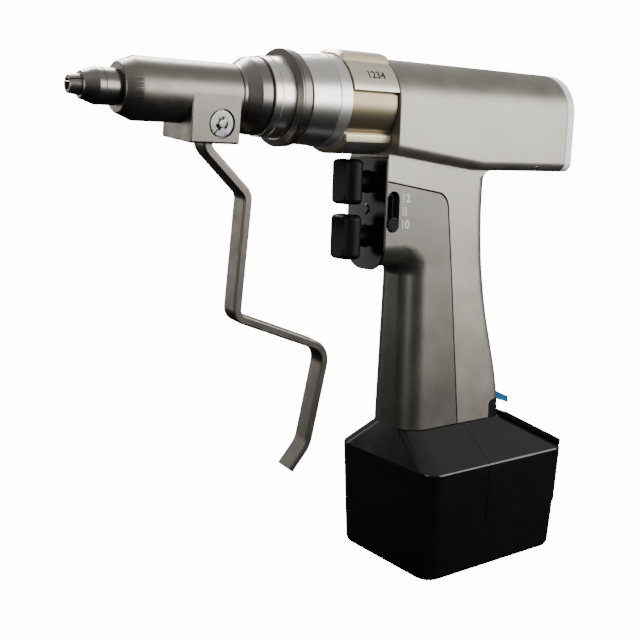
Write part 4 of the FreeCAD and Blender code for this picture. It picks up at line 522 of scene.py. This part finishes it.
def barrel_housing():
    """Barrel of the housing: an inverted U, its lower corners on the rising floor, round the motor's bore.

    A row is one outline: half circle over flat sides that end in rounded corners. Near the ends the
    outline shrinks by the arc r - sqrt(r^2 - (r - d)^2), d from the end, which rounds the rims."""
    low, high = node_box("main_housing")
    half_w, corner, bore, rim = HOUSING_HALF_W, HOUSING_CORNER, HOUSING_BORE, HOUSING_RIM
    t = np.linspace(0.0, 0.5 * math.pi, 5)
    front_x = low[0] + HOUSING_START + rim * (1.0 - np.sin(t))
    rear_x = high[0] - rim * (1.0 - np.sin(t))
    middle = np.linspace(low[0] + HOUSING_START + rim, high[0] - rim, 34)[1:-1]
    x = np.concatenate([np.sort(front_x), middle, np.sort(rear_x)])
    from_end = np.minimum(x - x[0], x[-1] - x)
    inset = rim - np.sqrt(np.maximum(0.0, rim ** 2 - np.maximum(0.0, rim - from_end) ** 2))
    arc = np.linspace(0.0, math.pi, 61)
    turn_down = np.linspace(0.0, 0.5 * math.pi, 13)
    down = np.linspace(0.0, 1.0, 12)[1:-1]
    across = np.linspace(-1.0, 1.0, 14)[1:-1]
    flat_half = half_w - corner
    y = np.concatenate([half_w * np.cos(arc), -half_w + 0.0 * down, -flat_half - corner * np.cos(turn_down),
                        flat_half * across, flat_half + corner * np.sin(turn_down), half_w + 0.0 * down])
    up = np.concatenate([half_w * np.sin(arc), 0.0 * down, -corner * np.sin(turn_down),
                         -corner + 0.0 * across, -corner * np.cos(turn_down), 0.0 * down])
    share = np.concatenate([0.0 * arc, down, np.ones(13), np.ones(12), np.ones(13), down[::-1]])
    base = floor_height(x)[:, None] + corner
    z = AXIS_Z + (base - AXIS_Z) * share[None, :] + up[None, :]
    shrink = 1.0 - inset[:, None] / half_w
    outer = np.stack([x[:, None] + 0.0 * z, y[None, :] * shrink, AXIS_Z + (z - AXIS_Z) * shrink], axis=-1)
    angle = np.arctan2(outer[..., 2] - AXIS_Z, outer[..., 1])
    ends = [-1, 0]
    inner = np.stack([outer[ends, :, 0], bore * np.cos(angle[ends]), AXIS_Z + bore * np.sin(angle[ends])],
                     axis=-1)
    made = surface("housing_barrel", np.concatenate([outer, inner]))
    return keep(made, BODY_OF["main_housing"], "coated_aluminium", ("main_housing",))


def handle_casting():
    """The CAD housing below the barrel's floor, closed where the barrel sits on it."""
    data = frame["nodes"]["main_housing"].data.copy()
    made = bpy.data.objects.new("housing_handle", data)
    bpy.context.scene.collection.objects.link(made)
    work = bmesh.new()
    work.from_mesh(data)
    bmesh.ops.remove_doubles(work, verts=work.verts, dist=MERGE)
    bmesh.ops.dissolve_degenerate(work, edges=work.edges, dist=MERGE)
    above = {v for v in work.verts if v.co.z / MM > float(floor_height(v.co.x / MM)) - FLOOR_SLACK}
    bmesh.ops.delete(work, geom=[f for f in work.faces if all(v in above for v in f.verts)], context="FACES")
    bmesh.ops.holes_fill(work, edges=[e for e in work.edges if e.is_boundary], sides=0)
    bmesh.ops.dissolve_limit(work, angle_limit=FLAT, verts=work.verts, edges=work.edges)
    work.to_mesh(data)
    work.free()
    if "custom_normal" in data.attributes:
        data.attributes.remove(data.attributes["custom_normal"])
    even_shading(made)
    return keep(made, BODY_OF["main_housing"], "coated_aluminium", ("main_housing",))


def housing_screws():
    """Socket screws in the lower rear edges.

    An outline (r, h) is carried round an axis that leans 45 degrees."""
    outline = rounded([(0.001, -2.0, 0.0), (1.5, -2.0, 0.0), (1.5, 0.1, 0.2), (0.85, 0.1, 0.1),
                       (0.75, -0.9, 0.0), (0.001, -0.9, 0.0)], 3)
    angle = np.linspace(0.0, 2.0 * math.pi, 48, endpoint=False)[None, :]
    lean = math.sqrt(0.5)
    for side, label in ((-1.0, "left"), (1.0, "right")):
        out = np.array([0.0, side * lean, -lean])
        across = np.array([0.0, lean, side * lean])
        corner = HOUSING_CORNER
        centre = np.array([SCREW_X, side * (HOUSING_HALF_W - corner), HOUSING_FLOOR + corner]) + out * corner
        r = outline[:, :1]
        points = (centre + out * outline[:, 1:, None]
                  + (r * np.cos(angle))[..., None] * np.array([1.0, 0.0, 0.0])
                  + (r * np.sin(angle))[..., None] * across)
        keep(surface("housing_screw_" + label, points), BODY_OF["housing_screws"], "spring_steel",
             ("housing_screws",))


# Markings

PRINT_STRIP = 0.5
PRINT_HALF_THICK = 0.05
PRINT_BOLD = 0.09
SHELL_SIDE_Y = -13.7
FIGURE_X = -50.9
TICK_X = -52.5
FIGURE_SIZE = 5.4
TICK_SIZE = 4.2
COLLAR_FIGURE_X = -77.5
COLLAR_FIGURE_SIZE = 5.0


def print_points(figures, size_mm):
    """Mesh of plain figures and its points, the lowest left corner at the origin.

    It is cut across every 0.5 mm, so that it can follow a round surface."""
    curve = bpy.data.curves.new("print", "FONT")
    curve.body = figures
    curve.size = size_mm
    curve.extrude = PRINT_HALF_THICK
    curve.offset = PRINT_BOLD
    curve.resolution_u = 3
    holder = bpy.data.objects.new("print", curve)
    bpy.context.scene.collection.objects.link(holder)
    data = bpy.data.meshes.new_from_object(holder)
    bpy.data.objects.remove(holder)
    work = bmesh.new()
    work.from_mesh(data)
    for height in np.arange(-size_mm, size_mm, PRINT_STRIP):
        bmesh.ops.bisect_plane(work, geom=work.verts[:] + work.edges[:] + work.faces[:], dist=0.0001,
                               plane_co=(0.0, height, 0.0), plane_no=(0.0, 1.0, 0.0))
    work.to_mesh(data)
    work.free()
    co = np.empty(3 * len(data.vertices))
    data.vertices.foreach_get("co", co)
    co = co.reshape(-1, 3)
    co[:, :2] -= co[:, :2].min(axis=0)
    return data, co


def printed(name, figures, size_mm, place, body, finish):
    """Figures laid on a surface: place turns (u, v, height) in millimetres into a point of the object."""
    data, co = print_points(figures, size_mm)
    data.vertices.foreach_set("co", (place(co[:, 0], co[:, 1], co[:, 2]) * MM).ravel())
    work = bmesh.new()
    work.from_mesh(data)
    bmesh.ops.remove_doubles(work, verts=work.verts, dist=0.001 * MM)
    bmesh.ops.recalc_face_normals(work, faces=work.faces)
    work.to_mesh(data)
    work.free()
    made = bpy.data.objects.new(name, data)
    bpy.context.scene.collection.objects.link(made)
    return keep(made, body, finish, ())


def markings():
    """Figures beside the slot, a tick for each, and a row of figures on each of the collar's lands."""
    for label, z in (("2", 178.2), ("1", 172.2), ("0", 166.3)):
        def flat(u, v, h, z=z, x=FIGURE_X):
            return np.stack([x + u, SHELL_SIDE_Y - h, z + v], axis=-1)

        def beside(u, v, h, z=z):
            return flat(u, v, h, z, TICK_X)

        shell = BODY_OF["grip_front_shell"]
        printed("slot_figure_" + label, label, FIGURE_SIZE, flat, shell, "print_white")
        printed("slot_tick_" + label, "|", TICK_SIZE, beside, shell, "print_white")
    for label, degrees in (("1234", 29.0), ("5678", 209.0)):
        def curved(u, v, h, degrees=degrees):
            angle = math.radians(degrees) + v / LAND_R
            r = LAND_R + h
            return np.stack([COLLAR_FIGURE_X + u, -r * np.cos(angle), AXIS_Z + r * np.sin(angle)], axis=-1)

        printed("collar_figure_" + label, label, COLLAR_FIGURE_SIZE, curved, BODY_OF["mode_collar"],
                "print_dark")


REBUILT = {"barrel_sleeve", "coupling_seal", "attachment_flange", "attachment_ring", "attachment_flare",
           "nose_cone", "mode_collar", "main_housing", "housing_screws"}
FINISH_OF = {"grip_front_shell": "shell_coat", "pivot_clip": "spring_steel", "pivot_pin": "spring_steel"}
EDGES = {"grip_front_shell": 0.35, "rear_cap": 0.35, "swivel_sleeve": 0.35,
         "trigger_plate": 0.3, "collet_lever": 0.25}
barrel_pieces()
mode_collar()
barrel_housing()
handle_casting()
housing_screws()
markings()
for node_name in sorted(frame["nodes"]):
    if node_name not in REBUILT:
        smooth_copy(node_name, FINISH_OF.get(node_name), EDGES.get(node_name, 0.0))


# Floor, light and camera

def camera_axes(yaw_deg, pitch_deg, roll_deg):
    """Right, up and forward of a camera turned from +Y towards +X, pitched down and rolled."""
    yaw, pitch, roll = (math.radians(a) for a in (yaw_deg, pitch_deg, roll_deg))
    ahead = np.array([math.sin(yaw), math.cos(yaw), 0.0])
    side = np.array([math.cos(yaw), -math.sin(yaw), 0.0])
    top = np.array([0.0, 0.0, 1.0])
    forward = math.cos(pitch) * ahead - math.sin(pitch) * top
    up = math.cos(pitch) * top + math.sin(pitch) * ahead
    right = math.cos(roll) * side + math.sin(roll) * up
    up = -math.sin(roll) * side + math.cos(roll) * up
    return right, up, forward


CAMERA_PLACE = (-337.4, -338.9, 200.1)
CAMERA_TURN = (36.481, 10.087, 1.729)
CAMERA_LENS = 53.65

lens = bpy.data.cameras.new("photo_camera")
lens.lens = CAMERA_LENS
lens.sensor_width = 36.0
lens.clip_start = 0.01
lens.clip_end = 20.0
camera = bpy.data.objects.new("photo_camera", lens)
bpy.context.scene.collection.objects.link(camera)
right, up, forward = camera_axes(*CAMERA_TURN)
turn = Matrix([[right[i], up[i], -forward[i]] for i in range(3)]).to_4x4()
camera.matrix_world = Matrix.Translation(Vector(CAMERA_PLACE) * MM) @ turn
bpy.context.scene.camera = camera


def floor():
    """Plain pale floor, lit evenly as in a white photo booth."""
    data = bpy.data.meshes.new("floor")
    half = 4.0
    corners = [(-half, -half, 0), (half, -half, 0), (half, half, 0), (-half, half, 0)]
    data.from_pydata(corners, [], [(0, 1, 2, 3)])
    made = bpy.data.objects.new("floor", data)
    bpy.context.scene.collection.objects.link(made)
    paint, _, shader = start_material("pale_floor", 0.0, 0.9, "f4f4f4")
    shader.inputs["Emission Color"].default_value = linear("ffffff")
    shader.inputs["Emission Strength"].default_value = 13.0
    data.materials.append(paint)
    made.visible_diffuse = False
    made.visible_glossy = False


def softbox(name, place, target, size, power):
    """White rectangular area light at place that faces target, in millimetres."""
    data = bpy.data.lights.new(name, "AREA")
    data.shape = "RECTANGLE"
    data.size = size[0] * MM
    data.size_y = size[1] * MM
    data.energy = power
    made = bpy.data.objects.new(name, data)
    bpy.context.scene.collection.objects.link(made)
    aim = Vector(target) - Vector(place)
    turned = aim.to_track_quat("-Z", "Y").to_matrix().to_4x4()
    made.matrix_world = Matrix.Translation(Vector(place) * MM) @ turned


def studio(stops, backdrop):
    """Room light that changes with the height of view only; the camera itself sees a plain pale backdrop."""
    made = bpy.data.worlds.new("studio")
    bpy.context.scene.world = made
    made.use_nodes = True
    tree = made.node_tree
    background = tree.nodes["Background"]
    where = add(tree, "ShaderNodeTexCoord")
    height = add(tree, "ShaderNodeSeparateXYZ", {"Vector": where.outputs["Generated"]})
    share = ramp(tree, height.outputs["Z"], -1.0, 1.0, 0.0, 1.0)
    colours = add(tree, "ShaderNodeValToRGB", {"Fac": share})
    elements = colours.color_ramp.elements
    while len(elements) < len(stops):
        elements.new(0.5)
    for element, (place, level) in zip(elements, stops):
        element.position = (math.sin(math.radians(place)) + 1.0) / 2.0
        element.color = (level, level, level, 1.0)
    tree.links.new(colours.outputs["Color"], background.inputs["Color"])
    seen = add(tree, "ShaderNodeBackground", {"Color": linear("ffffff"), "Strength": backdrop})
    rays = add(tree, "ShaderNodeLightPath")
    both = add(tree, "ShaderNodeMixShader", {0: rays.outputs["Is Camera Ray"], 1: background.outputs[0],
                                             2: seen.outputs[0]})
    tree.links.new(both.outputs[0], tree.nodes["World Output"].inputs["Surface"])


floor()
softbox("key", (530, -770, 420), (0, 0, 190), (1000, 560), 10.5)
softbox("low_key", (480, -820, 150), (0, 0, 170), (900, 200), 1.8)
softbox("left", (-820, -330, 260), (-80, 0, 180), (300, 420), 1.5)
softbox("behind_left", (-1000, 1500, 260), (-100, 0, 150), (260, 900), 2.6)
softbox("back", (60, 600, 900), (0, 0, 150), (700, 260), 17.0)
studio([(-90, 0.01), (-28, 0.015), (-8, 0.1), (25, 0.3), (50, 0.6), (90, 0.6)], backdrop=14.0)
